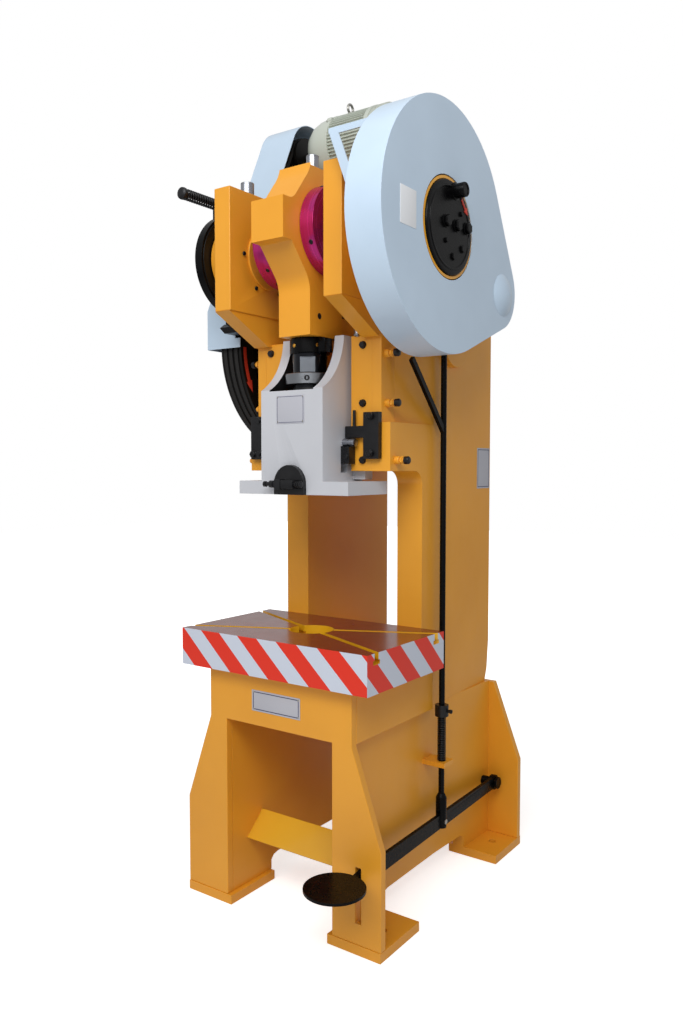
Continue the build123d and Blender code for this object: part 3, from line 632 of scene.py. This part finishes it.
# The slot's near-black is painted shade as well as oiled casting
rounded("ram", [RAM_ENAMEL, OILED_CAST_AND_PAINTED_SHADE], 2.0, ram_sort)
rounded("knockout_stops", BLACK_STEEL_AND_SLOT_SHADE, 1.5)
rounded("knockout_bar", BLACK_STEEL_AND_SLOT_SHADE, 1.0)
rounded("tool_clamp", BLACK_STEEL_AND_SLOT_SHADE, 1.5, without=is_clamp_stud)
rounded("treadle_lever", BLACK_PAINT, 1.0)
rounded("treadle_pivot", BLACK_PAINT, 1.5)
rounded("pull_rod", BLACK_PAINT, 0.8)
rounded("rod_collar", BLACK_STEEL_AND_SLOT_SHADE, 1.0)
rounded("ball_seat", BLACK_STEEL_AND_SLOT_SHADE, 1.0)
rounded("brake_band", BLACK_PAINT, 1.0)
rounded("brake_drum", BLACK_CAST, 1.5)
rounded("flywheel", BLACK_CAST, 2.0)
rounded("gear_guard", GUARD_ENAMEL, 1.0)
rounded("belt_guard", GUARD_ENAMEL, 1.0)
rounded("guard_supports", GUARD_ENAMEL, 0.8, without=is_front_stay)


# Pitman: the boss over the crank pin runs into the stem in long slopes

PITMAN_LOW = box_mm("pitman")[0].z
PITMAN_HALF = box_mm("pitman")[1].x
PIN_BORE_R = 111.5
SCREW_BORE_R = 45.0
SCREW_BORE_TOP = box_mm("adjusting_screw")[1].z + 1.0
OUTLINE_STEP = 14

front_side = [(-381, PITMAN_LOW, 0), (-381, 1913, 30), (-466, 2014, 7), (-504, 2014, 0), (-504, 2131, 0),
              (-459, 2131, 20), (-381, 2232, 24), (-377, 2248, 0)]
crown_middle = [(CRANK[0], front_side[-1][1], 0)]
rear_side = [(2 * CRANK[0] - y, z, bend) for y, z, bend in reversed(front_side)]
foot_middle = [(CRANK[0], PITMAN_LOW, 0)]
outline = parted(soft_outline(front_side + crown_middle + rear_side + foot_middle), OUTLINE_STEP)


def run_round(start, end):
    """The places from one point of the pitman's outline to another, the way that it runs."""
    count = (end - start) % len(outline) + 1
    return [(start + i) % len(outline) for i in range(count)]


pitman = bmesh.new()
pin = Vector(CRANK_PIN)
outer = {}
inner = {}
for x in (-PITMAN_HALF, PITMAN_HALF):
    outer[x] = [pitman.verts.new((x, q.x, q.y)) for q in outline]
    bore = [pin + (q - pin).normalized() * PIN_BORE_R for q in outline]
    inner[x] = [pitman.verts.new((x, q.x, q.y)) for q in bore]
foot = []
for k, q in enumerate(outline):
    n = (k + 1) % len(outline)
    pitman.faces.new((inner[-PITMAN_HALF][k], inner[-PITMAN_HALF][n], inner[PITMAN_HALF][n],
                      inner[PITMAN_HALF][k]))
    if max(q.y, outline[n].y) > PITMAN_LOW + 0.1:
        pitman.faces.new((outer[-PITMAN_HALF][k], outer[-PITMAN_HALF][n], outer[PITMAN_HALF][n],
                          outer[PITMAN_HALF][k]))
    else:
        foot.append(k)

# Each flat side is two faces, the front half and the rear half, so that the bore leaves no crease in it
on_middle = [k for k, q in enumerate(outline) if abs(q.x - CRANK[0]) < 0.1]
top = max(on_middle, key=lambda k: outline[k].y)
low = min(on_middle, key=lambda k: outline[k].y)
for x in outer:
    for half in (run_round(low, top), run_round(top, low)):
        pitman.faces.new([outer[x][k] for k in half] + [inner[x][k] for k in reversed(half)])

# The foot is open round the screw, whose bore ends above the screw's top
foot.append((foot[-1] + 1) % len(outline))
foot_edge = [outer[PITMAN_HALF][k] for k in foot] + [outer[-PITMAN_HALF][k] for k in reversed(foot)]
screw_bore = {}
for z in (PITMAN_LOW, SCREW_BORE_TOP):
    screw_bore[z] = []
    for v in foot_edge:
        out = Vector((v.co.x, v.co.y - CRANK[0])).normalized() * SCREW_BORE_R
        screw_bore[z].append(pitman.verts.new((out.x, CRANK[0] + out.y, z)))
mouth = screw_bore[PITMAN_LOW]
bottom = screw_bore[SCREW_BORE_TOP]
for k in range(len(foot_edge)):
    n = (k + 1) % len(foot_edge)
    pitman.faces.new((foot_edge[k], foot_edge[n], mouth[n], mouth[k]))
    pitman.faces.new((mouth[k], mouth[n], bottom[n], bottom[k]))
pitman.faces.new(bottom)
bmesh.ops.recalc_face_normals(pitman, faces=pitman.faces)
ease(stand_for("pitman_casting", pitman, "pitman", MACHINE_ENAMEL), 3.0, 3)

# Painted shade: a thin near-black disc on the pitman's side stands for the dark inside of its oil hole
oil_hole = bmesh.new()
lathe(oil_hole, [(9.2, -2), (9.2, 0.2), (8.6, 0.5)], (PITMAN_HALF, -334.7, 1816.5), RIGHT, 28)
make_piece("pitman_oil_hole_shade_disc", oil_hole, BODY_OF["pitman"], OILED_CAST_AND_PAINTED_SHADE)


# Guard stay: a bent angle that runs from the gear guard's rim to a foot on the cheek

STAY_FRONT = -503
STAY_WEB = -500
STAY_BACK = -470
FOOT_BACK = -400

stay = bmesh.new()
slab(stay, [(217, 2275), (372, 2275), (372, 2257), (250, 2257), (306, 2112), (276, 2112), (220, 2262),
            (217, 2262)], STAY_FRONT, STAY_WEB)
slab(stay, [(217, 2275), (372, 2275), (372, 2271.5), (217, 2271.5)], STAY_WEB, STAY_BACK)
slab(stay, [(217, 2262), (221, 2262), (280, 2112), (276, 2112)], STAY_WEB, STAY_BACK)
block(stay, (276, STAY_FRONT, 2108), (306, FOOT_BACK, 2112), 0.8)
block(stay, (237, -424, 2108), (276.5, FOOT_BACK, 2112), 0.8)
block(stay, (237, -424, 2086), (241, FOOT_BACK, 2112), 0.8)
make_piece("guard_stay", stay, "frame", GUARD_ENAMEL)


# Chute and bushes, and the gears, shafts and belts, which keep their solids' own shapes

rounded("scrap_chute", CHUTE_ENAMEL, 1.0)
rounded("crank_bush_left", MACHINE_ENAMEL, 1.5)
rounded("crank_bush_right", MACHINE_ENAMEL, 1.5)
for node, material in (("bull_gear", GEAR_PAINT), ("layshaft", GEAR_STEEL), ("layshaft_gear", GEAR_STEEL),
                       ("flywheel_shaft", SHAFT_STEEL), ("motor_pulley", BLACK_CAST),
                       ("drive_belts", BELT_RUBBER), ("clevis_pin", ZINC)):
    dress(NODES[node].data, material)


# Fasteners: turned and six-sided heads, where the solids have plain discs

def hex_bolt(bm, centre, axis, across, height, washer=0.0, mat=0):
    """A chamfered hexagon head on its washer, with a shallow ring on its top."""
    seat = Vector(centre) + axis * washer
    if washer:
        lathe(bm, [(across * 0.62, 0), (across * 0.62, washer * 0.7), (across * 0.58, washer)], centre, axis,
              28, mat)
    hexagon(bm, seat, axis, height, across, across * 0.07, mat)
    lathe(bm, [(across * 0.40, -0.2), (across * 0.40, 0.5), (across * 0.34, 0.5)], seat + axis * height, axis,
          24, mat)


def cap_screw(bm, centre, axis, r, height, mat=0, steps=24):
    """A cap screw's head with its six-sided socket sunk in the top."""
    place = set_on(centre, axis)
    rings = [ring(bm, place, radius, along, steps)
             for radius, along in ((r, 0), (r, height - 0.15 * r), (0.88 * r, height))]
    for radius, along in ((0.58 * r, height), (0.52 * r, 0.42 * height)):
        socket = []
        for k in range(steps):
            turn = 2 * math.pi * k / steps
            fold = (turn + math.pi / 6) % (math.pi / 3) - math.pi / 6
            socket.append(spot(bm, place, radius * 0.92 / math.cos(fold), turn, along))
        rings.append(socket)
    skin_over(bm, rings, mat)

GIB_FACE = box_mm("gib_left")[0].y
STOP_FACE = box_mm("knockout_stops")[0].y

bolts = bmesh.new()
for x in (-182, 173):
    for z in (1730, 1558, 1389):
        hex_bolt(bolts, (x, GIB_FACE, z), FRONT, 18.5, 7.0, 2.5)
stand_for("gib_cap_bolts", bolts, "gib_bolts", BLACK_STEEL_AND_SLOT_SHADE)

# Black caps cover the studs' ends, but for the two lower ones on the left
studs = bmesh.new()
for y, z, face in ((-246, 1703, 237.7), (-242, 1557, 237.7), (-239, 1388, 269)):
    for side in (-1, 1):
        start = Vector((face * side, y, z))
        out = RIGHT * side
        lathe(studs, [(12, 0), (12, 13), (11, 14.5), (7.5, 14.5), (7.5, 30)], start, out, 28)
        hexagon(studs, start + out * 18, out, 7, 21, 1.4)
        if side > 0 or z > 1600:
            lathe(studs, [(9, 0), (11.8, 1.5), (11.8, 13), (9.5, 16), (5, 17)], start + out * 30, out, 28, 1)
stand_for("gib_adjusting_studs", studs, "gib_studs", [MACHINE_ENAMEL, BLACK_STEEL_AND_SLOT_SHADE])

stop_bolts = bmesh.new()
for x in (-213, 213):
    for z in (1518, 1409):
        hex_bolt(stop_bolts, (x, STOP_FACE + 0.2, z), FRONT, 17, 5.0)
make_piece("stop_bolt_heads", stop_bolts, "frame", BLACK_STEEL_AND_SLOT_SHADE)

BUSH_SCREW_CIRCLE = 111
BUSH_SCREWS = 6

ring_bolts = bmesh.new()
for side in (-1, 1):
    for k in range(BUSH_SCREWS):
        turn = 2 * math.pi * k / BUSH_SCREWS
        centre = Vector((171 * side, CRANK[0] + BUSH_SCREW_CIRCLE * math.cos(turn),
                         CRANK[1] + BUSH_SCREW_CIRCLE * math.sin(turn)))
        cap_screw(ring_bolts, centre, -RIGHT * side, 6.5, 3.5)
stand_for("bearing_cap_screws", ring_bolts, "bearing_ring_bolts", BLACK_STEEL_AND_SLOT_SHADE)

# Screws in the rims of the two crank cheeks, each by the way that it looks from its cheek's centre
disc_bolts = bmesh.new()
for centre, rim_r, head_r, ways in (((92, *CRANK_PIN), 131, 7.5, ((-58, 103), (-127, -60))),
                                    ((-96, CRANK[0], CRANK[1] + 22), 118.5, 6.5, ((-79, -70), (-40, -112)))):
    for y, z in ways:
        out = Vector((0, y, z)).normalized()
        cap_screw(disc_bolts, Vector(centre) + out * rim_r, out, head_r, 1.6)
make_piece("crank_disc_screws", disc_bolts, "crank", BLACK_STEEL_AND_SLOT_SHADE)


# Oil cups with a groove under the lid, and the guide's oil nipple

CROWN_TOP = front_side[-1][1]
CHEEK_TOP = box_mm("bearing_block_left")[1].z

for name, node, base, r, rise in (("cheek_oiler", "cheek_oil_cup", (-210, -350, CHEEK_TOP), 21, 42),
                                  ("crown_oiler", "pitman_oil_cup", (10, -303, CROWN_TOP), 19, 54)):
    cup = bmesh.new()
    lathe(cup, [(r - 1, -0.5), (r - 1, 0.5), (r, 1.5), (r, rise - 5), (r - 0.6, rise - 4.6),
                (r - 0.6, rise - 4), (r, rise - 3.6), (r, rise - 1), (r - 1, rise), (r - 3, rise),
                (r - 4.5, rise - 1.4), (2, rise - 2)], base, UP, 48)
    stand_for(name, cup, node, CHROME)

NIPPLE_AT = (152, -268, box_mm("gib_right")[1].z)
gib_oiler = bmesh.new()
lathe(gib_oiler, [(7, -2), (7, 3), (12.5, 4), (12.5, 26), (11.5, 28), (4, 28.6)], NIPPLE_AT, UP, 32)
hexagon(gib_oiler, NIPPLE_AT, UP, 5, 22)
make_piece("gib_oil_nipple", gib_oiler, "frame", CHROME)


# Pitman screw with its lock ring above and its seat ring below; heights are above the floor

RING_AT = Vector((-3.0, CRANK[0], 0.0))
LOCK_LOW = 1711
LOCK_TOP = 1754.5
SEAT_LOW = box_mm("screw_rings")[0].z
SEAT_TOP = 1650
LOCK_PAINT, SEAT_STEEL, LOCK_SCREW, SEAT_SCREW = range(4)


def across_plan(turn):
    """The level direction at an angle in degrees."""
    return Vector((math.cos(math.radians(turn)), math.sin(math.radians(turn)), 0))


collars = bmesh.new()
lathe(collars, [(60.5, LOCK_LOW), (62, LOCK_LOW + 1.5), (62, LOCK_TOP - 1.5), (60.5, LOCK_TOP),
                (57, LOCK_TOP), (57, LOCK_TOP + 4)], RING_AT, UP, 72, LOCK_PAINT)
lathe(collars, [(52, SEAT_LOW), (73.5, SEAT_LOW), (75, SEAT_LOW + 1.5), (75, SEAT_TOP - 1.5),
                (73.5, SEAT_TOP), (52, SEAT_TOP)], RING_AT, UP, 72, SEAT_STEEL)
block(collars, (52, -334, LOCK_LOW), (78, -296, LOCK_TOP - 0.5), 3.0, LOCK_PAINT)
for turn in (-103, -31):
    out = across_plan(turn)
    cap_screw(collars, RING_AT + UP * 1733 + out * 61, out, 6.0, 2.4, LOCK_SCREW)
out = across_plan(-60)
cap_screw(collars, RING_AT + UP * 1634 + out * 74, out, 8.5, 2.2, SEAT_SCREW)
stand_for("lock_and_seat_rings", collars, "screw_rings", [BLACK_PAINT, GROUND_STEEL, BRASS, BLACK_STEEL_AND_SLOT_SHADE])

SCREW_R = 53.0
SCREW_TIP = box_mm("adjusting_screw")[0].z
SCREW_TOP = box_mm("adjusting_screw")[1].z
NECK_R = 44.5
NECK_LOW = 1757
FLAT_LOW = 1654
FLAT_TOP = 1700
FLAT_AT = 47.0
FLAT_TURN = math.radians(-62)
SCREW_STEPS = 96

screw = bmesh.new()
loops = []
for r, z, flattened in ((49, SCREW_TIP, False), (SCREW_R, SCREW_TIP + 5, False), (SCREW_R, FLAT_LOW, False),
                        (SCREW_R, FLAT_LOW + 0.5, True), (SCREW_R, FLAT_TOP, True),
                        (SCREW_R, FLAT_TOP + 0.5, False), (SCREW_R, NECK_LOW, False),
                        (NECK_R, NECK_LOW + 0.5, False), (NECK_R, SCREW_TOP, False)):
    loop = []
    for k in range(SCREW_STEPS):
        turn = 2 * math.pi * k / SCREW_STEPS
        reach = min(r, FLAT_AT / max(abs(math.cos(turn)), 0.1)) if flattened else r
        loop.append(spot(screw, Matrix.Translation(RING_AT), reach, FLAT_TURN + turn, z))
    loops.append(loop)
for face in skin_over(screw, loops):
    middle = face.calc_center_median() - RING_AT
    level = FLAT_LOW < middle.z < FLAT_TOP + 0.6
    face.material_index = 1 if level and math.hypot(middle.x, middle.y) < SCREW_R - 0.6 else 0
stand_for("pitman_screw", screw, "adjusting_screw", [BLUED_STEEL, MILLED_STEEL], 20)


# Springs: coiled wire, where the solids have sleeves

COIL_SMOOTH_BELOW = 60
SPRING_SEAT = 1.6

spring_low, spring_high = box_mm("return_spring")
spring_middle = (spring_low + spring_high) / 2
rod_spring = bmesh.new()
helix(rod_spring, (spring_middle.x, spring_middle.y, spring_low.z + SPRING_SEAT), UP, 12.3, 1.9,
      spring_high.z - spring_low.z - 2 * SPRING_SEAT, 24, 18, 7)
stand_for("rod_return_coil", rod_spring, "return_spring", BLACK_STEEL_AND_SLOT_SHADE, COIL_SMOOTH_BELOW)

BRAKE_BOLT_AT = Vector((-320, -530, 2197))
brake_coil = bmesh.new()
helix(brake_coil, BRAKE_BOLT_AT + BACK * 21, BACK, 14.8, 2.7, 131, 13)
stand_for("brake_coil", brake_coil, "brake_spring", BLACK_STEEL_AND_SLOT_SHADE, COIL_SMOOTH_BELOW)

knob = bmesh.new()
lathe(knob, [(6, 0), (12.5, 0.5), (17.6, 4), (18.6, 9), (18, 15), (14.5, 19), (14.5, 21), (7, 21.5),
             (7, 186)], BRAKE_BOLT_AT, BACK, 36)
hexagon(knob, BRAKE_BOLT_AT + BACK * 186, BACK, 9, 21, 1.4)
stand_for("brake_tension_bolt", knob, "brake_bolt", BLACK_STEEL_AND_SLOT_SHADE)


# Clutch disc: rimmed cover with its screws, the turning pin and the arrow

COVER_FACE = 478.0
DISC_AT = Vector((box_mm("clutch_disc")[0].x, *CRANK))

cover = bmesh.new()
lathe(cover, [(126.8, 0), (126.8, 13), (125, 16), (121, 17), (113, 17), (112, 18.6), (109.5, 19.2),
              (107, 18.6), (106, 17), (30, 17)], DISC_AT, RIGHT, 120)
for y, z in ((-325, 2030), (-265, 2030), (-206, 2035)):
    hex_bolt(cover, (COVER_FACE, y, z), RIGHT, 29, 9, 2.5)
for y, z, across in ((-240, 2067, 13), (-325, 1979, 13), (-232, 1973, 19), (-284, 1943, 19)):
    hex_bolt(cover, (COVER_FACE, y, z), RIGHT, across, 4.5, 1)
stand_for("clutch_cover", cover, "clutch_disc", BLACK_PAINT)

turn_pin = bmesh.new()
lathe(turn_pin, [(24, -1), (24, 1.5), (20, 3), (20, 30), (18.5, 33), (15, 33.4), (14, 31)],
      (COVER_FACE, -272, 2121), RIGHT, 40)
stand_for("clutch_bar_pin", turn_pin, "clutch_turning_pin", BLACK_PAINT)


def flat_arrow(name, body, points, thick):
    """A painted arrow: a thin plate cut along its outline, on a face that looks along X."""
    bm = bmesh.new()
    front = [bm.verts.new(p) for p in points]
    rear = [bm.verts.new(p - RIGHT * thick) for p in points]
    bmesh.ops.recalc_face_normals(bm, faces=skin_over(bm, [front, rear]))
    return make_piece(name, bm, body, SIGNAL_RED)


ARROW_TAIL = Vector((COVER_FACE + 2.2, -238, 2108))
ARROW_TIP = Vector((COVER_FACE + 2.2, -203, 2071))
STEM_HALF = 3.5
HEAD_HALF = 10
HEAD_LONG = 19

along = (ARROW_TIP - ARROW_TAIL).normalized()
across = Vector((0, -along.z, along.y))
reach = (ARROW_TIP - ARROW_TAIL).length
neck = reach - HEAD_LONG
arrow = [(0, -STEM_HALF), (neck, -STEM_HALF), (neck, -HEAD_HALF), (reach, 0), (neck, HEAD_HALF),
         (neck, STEM_HALF), (0, STEM_HALF)]
flat_arrow("turning_arrow", "crank", [ARROW_TAIL + along * a + across * b for a, b in arrow], 2.4)

WHEEL_SIDE = box_mm("flywheel")[1].x + 0.8


def on_wheel(turn, r):
    """A point on the flywheel's side by its angle in degrees and its radius."""
    turn = math.radians(turn)
    return Vector((WHEEL_SIDE, FLYWHEEL[0] + r * math.cos(turn), FLYWHEEL[1] + r * math.sin(turn)))


sweep = [-179 + 2 * k for k in range(11)]
bent_arrow = [(t, 320) for t in sweep] + [(-159, 313), (-152, 327), (-159, 341)]
bent_arrow += [(t, 334) for t in reversed(sweep)]
flat_arrow("flywheel_arrow", "flywheel", [on_wheel(t, r) for t, r in bent_arrow], 0.9)
# Motor: ribbed housing, flanged shields, slotted cowl, lidded box and lifting eye

MY, MZ = MOTOR
FIN_COUNT = 60
FIN_LEFT = -176
FIN_RIGHT = -29
FIN_PROFILE = ((-1, -1.6), (8.0, -0.9), (8.0, 0.9), (-1, 1.6))
QUARTERS = [math.pi / 4 + math.pi / 2 * k for k in range(4)]


def on_motor(x, r=0.0, turn=0.0):
    """A point by its place along the motor's shaft, its radius and its turn about the shaft."""
    return Vector((x, MY + r * math.cos(turn), MZ + r * math.sin(turn)))


housing = bmesh.new()
lathe(housing, [(100, 0), (101, 4), (101, 178), (100, 182)], on_motor(-212), RIGHT, 72)
for start, length in ((-188, 14), (-30, 20)):
    lathe(housing, [(104, 0), (109.6, 2), (109.6, length - 2), (104, length)], on_motor(start), RIGHT, 72)
lathe(housing, [(28, 0), (34, 1), (36, 4), (58, 8), (80, 20), (95, 40), (104, 66), (107.5, 94), (107.5, 112)],
      on_motor(-297), RIGHT, 72)
for k in range(FIN_COUNT):
    turn = 2 * math.pi * (k + 0.5) / FIN_COUNT
    under_the_motor = math.sin(turn) < -0.62
    if under_the_motor:
        continue
    out = Vector((0, math.cos(turn), math.sin(turn)))
    edge = Vector((0, -math.sin(turn), math.cos(turn)))
    ends = []
    for x in (FIN_LEFT, FIN_RIGHT):
        root = on_motor(x, 100.5, turn)
        ends.append([housing.verts.new(root + out * h + edge * w) for h, w in FIN_PROFILE])
    skin_over(housing, ends)
for y in (-78, 78):
    block(housing, (-200, MY + y - 17, MZ - 112), (-35, MY + y + 17, MZ - 100), 2.0)
    for x in (-178, -58):
        block(housing, (x - 7, MY + y - 15, MZ - 101), (x + 7, MY + y + 9, MZ - 66), 2.0)
        hex_bolt(housing, (x + 17, MY + y, MZ - 100), UP, 14, 7, 2, 1)
for turn in QUARTERS:
    ear = on_motor(-190, 108, turn)
    lathe(housing, [(8, 0), (9, 1), (9, 17), (8, 18)], ear, RIGHT, 24)
    cap_screw(housing, ear, -RIGHT, 5.5, 5, 1)
bmesh.ops.recalc_face_normals(housing, faces=housing.faces)
stand_for("motor_housing", housing, "motor_body", [MOTOR_ENAMEL, ZINC])

COWL_LEFT = box_mm("motor_fan_cowl")[0].x
GRILLE_X = box_mm("motor_fan_cowl")[1].x - 0.2
FEWEST_SLOTS = 8
SLOT_SPACING = 3.2
SLOT_REACH = 5.5
SLOT_SHARE = 0.27

cowl = bmesh.new()
lathe(cowl, [(108.6, 0), (108.6, 42), (106, 49), (100, 53.5), (60, 54.6)], on_motor(COWL_LEFT), RIGHT, 72)
for slot_r in (24, 40, 56, 72, 88):
    count = max(FEWEST_SLOTS, int(slot_r / SLOT_SPACING))
    for k in range(count):
        turn = 2 * math.pi * k / count
        wide = 2 * math.pi / count * SLOT_SHARE
        corners = ((-SLOT_REACH, -wide), (SLOT_REACH, -wide), (SLOT_REACH, wide), (-SLOT_REACH, wide))
        # Each slot is a flat black patch on the grille: painted shade that stands for the dark opening
        hole = [cowl.verts.new(on_motor(GRILLE_X, slot_r + r, turn + t)) for r, t in corners]
        cowl.faces.new(hole).material_index = 1
for turn in QUARTERS:
    out = Vector((0, math.cos(turn), math.sin(turn)))
    cap_screw(cowl, on_motor(8, 107.2, turn), out, 4, 1.7, 2)
stand_for("motor_cowl", cowl, "motor_fan_cowl", [COWL_PAINT, BLACK_STEEL_AND_SLOT_SHADE, ZINC])

GLAND_Y = MY + 118

terminal = bmesh.new()
block(terminal, (-158, MY + 96, MZ - 28), (-62, MY + 140, MZ + 48), 4.0)
block(terminal, (-160, MY + 140.5, MZ - 30), (-60, MY + 150, MZ + 50), 2.5)
for x in (-150, -70):
    for z in (-20, 40):
        cap_screw(terminal, (x, MY + 149.6, MZ + z), BACK, 4, 0.3, 1)
hexagon(terminal, (-60, GLAND_Y, MZ), RIGHT, 8, 24, 1.5, 1)
lathe(terminal, [(10, 0), (11, 2), (11, 11), (9, 14), (6, 14.2)], (-52, GLAND_Y, MZ), RIGHT, 28, 1)
stand_for("motor_box", terminal, "motor_terminal_box", [MOTOR_ENAMEL, BLACK_STEEL_AND_SLOT_SHADE])

EYE_AT = Vector((-150, MY, MZ + 132))
EYE_R = 15
EYE_ROD_R = 4.4
EYE_STEPS = 40
EYE_ROD_STEPS = 14

eye = bmesh.new()
loops = []
for i in range(EYE_STEPS):
    turn = 2 * math.pi * i / EYE_STEPS
    out = Vector((0, math.cos(turn), math.sin(turn)))
    loop = []
    for k in range(EYE_ROD_STEPS):
        b = 2 * math.pi * k / EYE_ROD_STEPS
        rod = math.cos(b) * out + math.sin(b) * RIGHT
        loop.append(eye.verts.new(EYE_AT + out * EYE_R + rod * EYE_ROD_R))
    loops.append(loop)
for i in range(EYE_STEPS):
    here = loops[i]
    ahead = loops[(i + 1) % EYE_STEPS]
    for k in range(EYE_ROD_STEPS):
        n = (k + 1) % EYE_ROD_STEPS
        eye.faces.new((here[k], ahead[k], ahead[n], here[n]))
lathe(eye, [(14, 0), (14, 4), (11, 5), (7, 8), (6.5, 14)], (-150, MY, MZ + 107), UP, 32)
bmesh.ops.recalc_face_normals(eye, faces=eye.faces)
stand_for("motor_lifting_eye", eye, "motor_eyebolt", ZINC)


# Blank plates: a thin sheet, a printed border and rivets

SHEET, BORDER, RIVET, VINYL = range(4)
PRINT_SUNK = 0.05
PRINT_PROUD = 0.25


def print_border(bm, low, high, out, wide):
    """A printed line round a plate that spans two corners and looks along out."""
    low = Vector(low)
    high = Vector(high)
    thin = [i for i in range(3) if abs(out[i]) > 0.5][0]
    first, second = [i for i in range(3) if i != thin]
    inset = wide * 0.6
    line = wide * 0.3
    for axis, other in ((first, second), (second, first)):
        for start in (low[other] + inset, high[other] - inset - line):
            a = low.copy()
            b = high.copy()
            a[axis] += inset
            b[axis] -= inset
            a[other] = start
            b[other] = start + line
            if out[thin] > 0:
                a[thin] = high[thin] - PRINT_SUNK
                b[thin] = high[thin] + PRINT_PROUD
            else:
                b[thin] = low[thin] + PRINT_SUNK
                a[thin] = low[thin] - PRINT_PROUD
            block(bm, a, b, 0, BORDER)


BED_PLATE = ((-96, -471.5, 633), (89, -470, 697))
SIDE_PLATE = ((269, 289, 1293), (270, 385, 1433))

plates = bmesh.new()
for corners, out in ((BED_PLATE, FRONT), (SIDE_PLATE, RIGHT)):
    block(plates, *corners, 0.4, SHEET)
    print_border(plates, *corners, out, 8)
for x in (-89, 82):
    for z in (639.5, 690.5):
        lathe(plates, [(3.2, 0), (2.6, 0.8), (1.2, 1.2)], (x, BED_PLATE[0][1], z), FRONT, 16, RIVET)
block(plates, (473, -552, 1976), (474, -474, 2071), 0.3, VINYL)
stand_for("blank_label_plates", plates, "blank_plates", [ALUMINIUM, PLATE_BORDER, ZINC, LABEL_VINYL])

RIVET_INSET = 5
plate_low, plate_high = box_mm("ram_blank_plate")

ram_plate = bmesh.new()
block(ram_plate, plate_low, plate_high, 0.4, SHEET)
print_border(ram_plate, plate_low, plate_high, FRONT, 4.5)
for x in (plate_low.x + RIVET_INSET, plate_high.x - RIVET_INSET):
    for z in (plate_low.z + RIVET_INSET, plate_high.z - RIVET_INSET):
        lathe(ram_plate, [(2.8, 0), (2.2, 0.7), (1.0, 1.0)], (x, plate_low.y, z), FRONT, 16, RIVET)
stand_for("ram_blank_label", ram_plate, "ram_blank_plate", [ALUMINIUM, PLATE_BORDER, ZINC])


# Small fittings on the ram, the stops and the knock-out bar

CLAMP_Y = -424
CLAMP_Z = 1317
RIDGE_PITCH = 7

ridges = [(r, RIDGE_PITCH * k + rise) for k in range(3) for r, rise in ((10, 0), (10, 3), (8, 3.4), (8, 6.6))]
clamp = bmesh.new()
block(clamp, (-12, CLAMP_Y - 13, CLAMP_Z - 13), (34, CLAMP_Y + 13, CLAMP_Z + 13), 3.0)
lathe(clamp, ridges + [(10, 21), (10, 24), (7, 25)], (34, CLAMP_Y, CLAMP_Z), RIGHT, 28)
lathe(clamp, [(5, 0), (8.6, 1), (8.6, 9), (6, 10), (6, 22), (9, 23), (11, 25), (11, 38), (8, 40), (8, 46)],
      (-84, CLAMP_Y, CLAMP_Z), RIGHT, 32)
make_piece("clamp_screw", clamp, "ram", BLACK_STEEL_AND_SLOT_SHADE)

bar_ends = bmesh.new()
for side in (-1, 1):
    lathe(bar_ends, [(9, 0), (12, 1), (12, 20), (10, 21), (10, 24), (12, 25), (12, 44), (9, 45)],
          (115 * side, -290, 1441), RIGHT * side, 32, 1)
    hex_bolt(bar_ends, (137 * side, -306, 1398), FRONT, 12, 5, 1.5)
make_piece("knockout_bar_fittings", bar_ends, "knockout_bar", [BLACK_STEEL_AND_SLOT_SHADE, CHROME])

stop_pins = bmesh.new()
for x in (-148, 148):
    lathe(stop_pins, [(4, 0), (4.8, 1), (4.8, 54), (3.5, 55.5)], (x, -281, 1482), UP, 20)
block(stop_pins, (-254, -291, 1392), (-238, -272, 1530), 1.5)
hex_bolt(stop_pins, (-244, -291, 1409), FRONT, 20, 6, 2)
make_piece("stop_fittings", stop_pins, "frame", BLACK_STEEL_AND_SLOT_SHADE)

collar_screw = bmesh.new()
lathe(collar_screw, [(3.6, 0), (3.6, 8), (6.6, 8.4), (6.6, 15)], (313, 8, 585.5), RIGHT, 20)
make_piece("collar_set_screw", collar_screw, "pull_rod", BLACK_STEEL_AND_SLOT_SHADE)


# Bolster: lacquered top, hazard tape on the sides, yellow slots

BOLSTER_LOW, BOLSTER_HIGH = box_mm("bolster")
TAPE_PITCH = 150.0
FRONT_BANDS = (-269.0, 1.06)
SIDE_BANDS = (-418.0, 1.0)


def bolster_sort(centre, normal):
    """Lacquer on the top, tape round the sides, and yellow in the slots, in the bore and underneath."""
    if normal.z > 0.9 and centre.z > BOLSTER_HIGH.z - 1:
        return 0
    outside = (abs(centre.x) > BOLSTER_HIGH.x - 0.5 or centre.y < BOLSTER_LOW.y + 0.5
               or centre.y > BOLSTER_HIGH.y - 0.5)
    return 1 if outside and abs(normal.z) < 0.5 else 2


def lay_tape(mesh):
    """Maps the tape's bands: they run down to the right on every side, from their own start and slant."""
    lay = mesh.uv_layers.new(name="tape")
    for face in mesh.polygons:
        faces_front = abs(face.normal.y) > 0.5
        axis = 0 if faces_front else 1
        start, slant = FRONT_BANDS if faces_front else SIDE_BANDS
        for loop in face.loop_indices:
            p = mesh.vertices[mesh.loops[loop].vertex_index].co / MM
            run = p[axis] - slant * (BOLSTER_HIGH.z - p.z) - start
            lay.data[loop].uv = (run / TAPE_PITCH, p.z / TAPE_PITCH)


lay_tape(rounded("bolster", [BOLSTER_LACQUER, TAPE, SLOT_YELLOW], 1.2, bolster_sort).data)
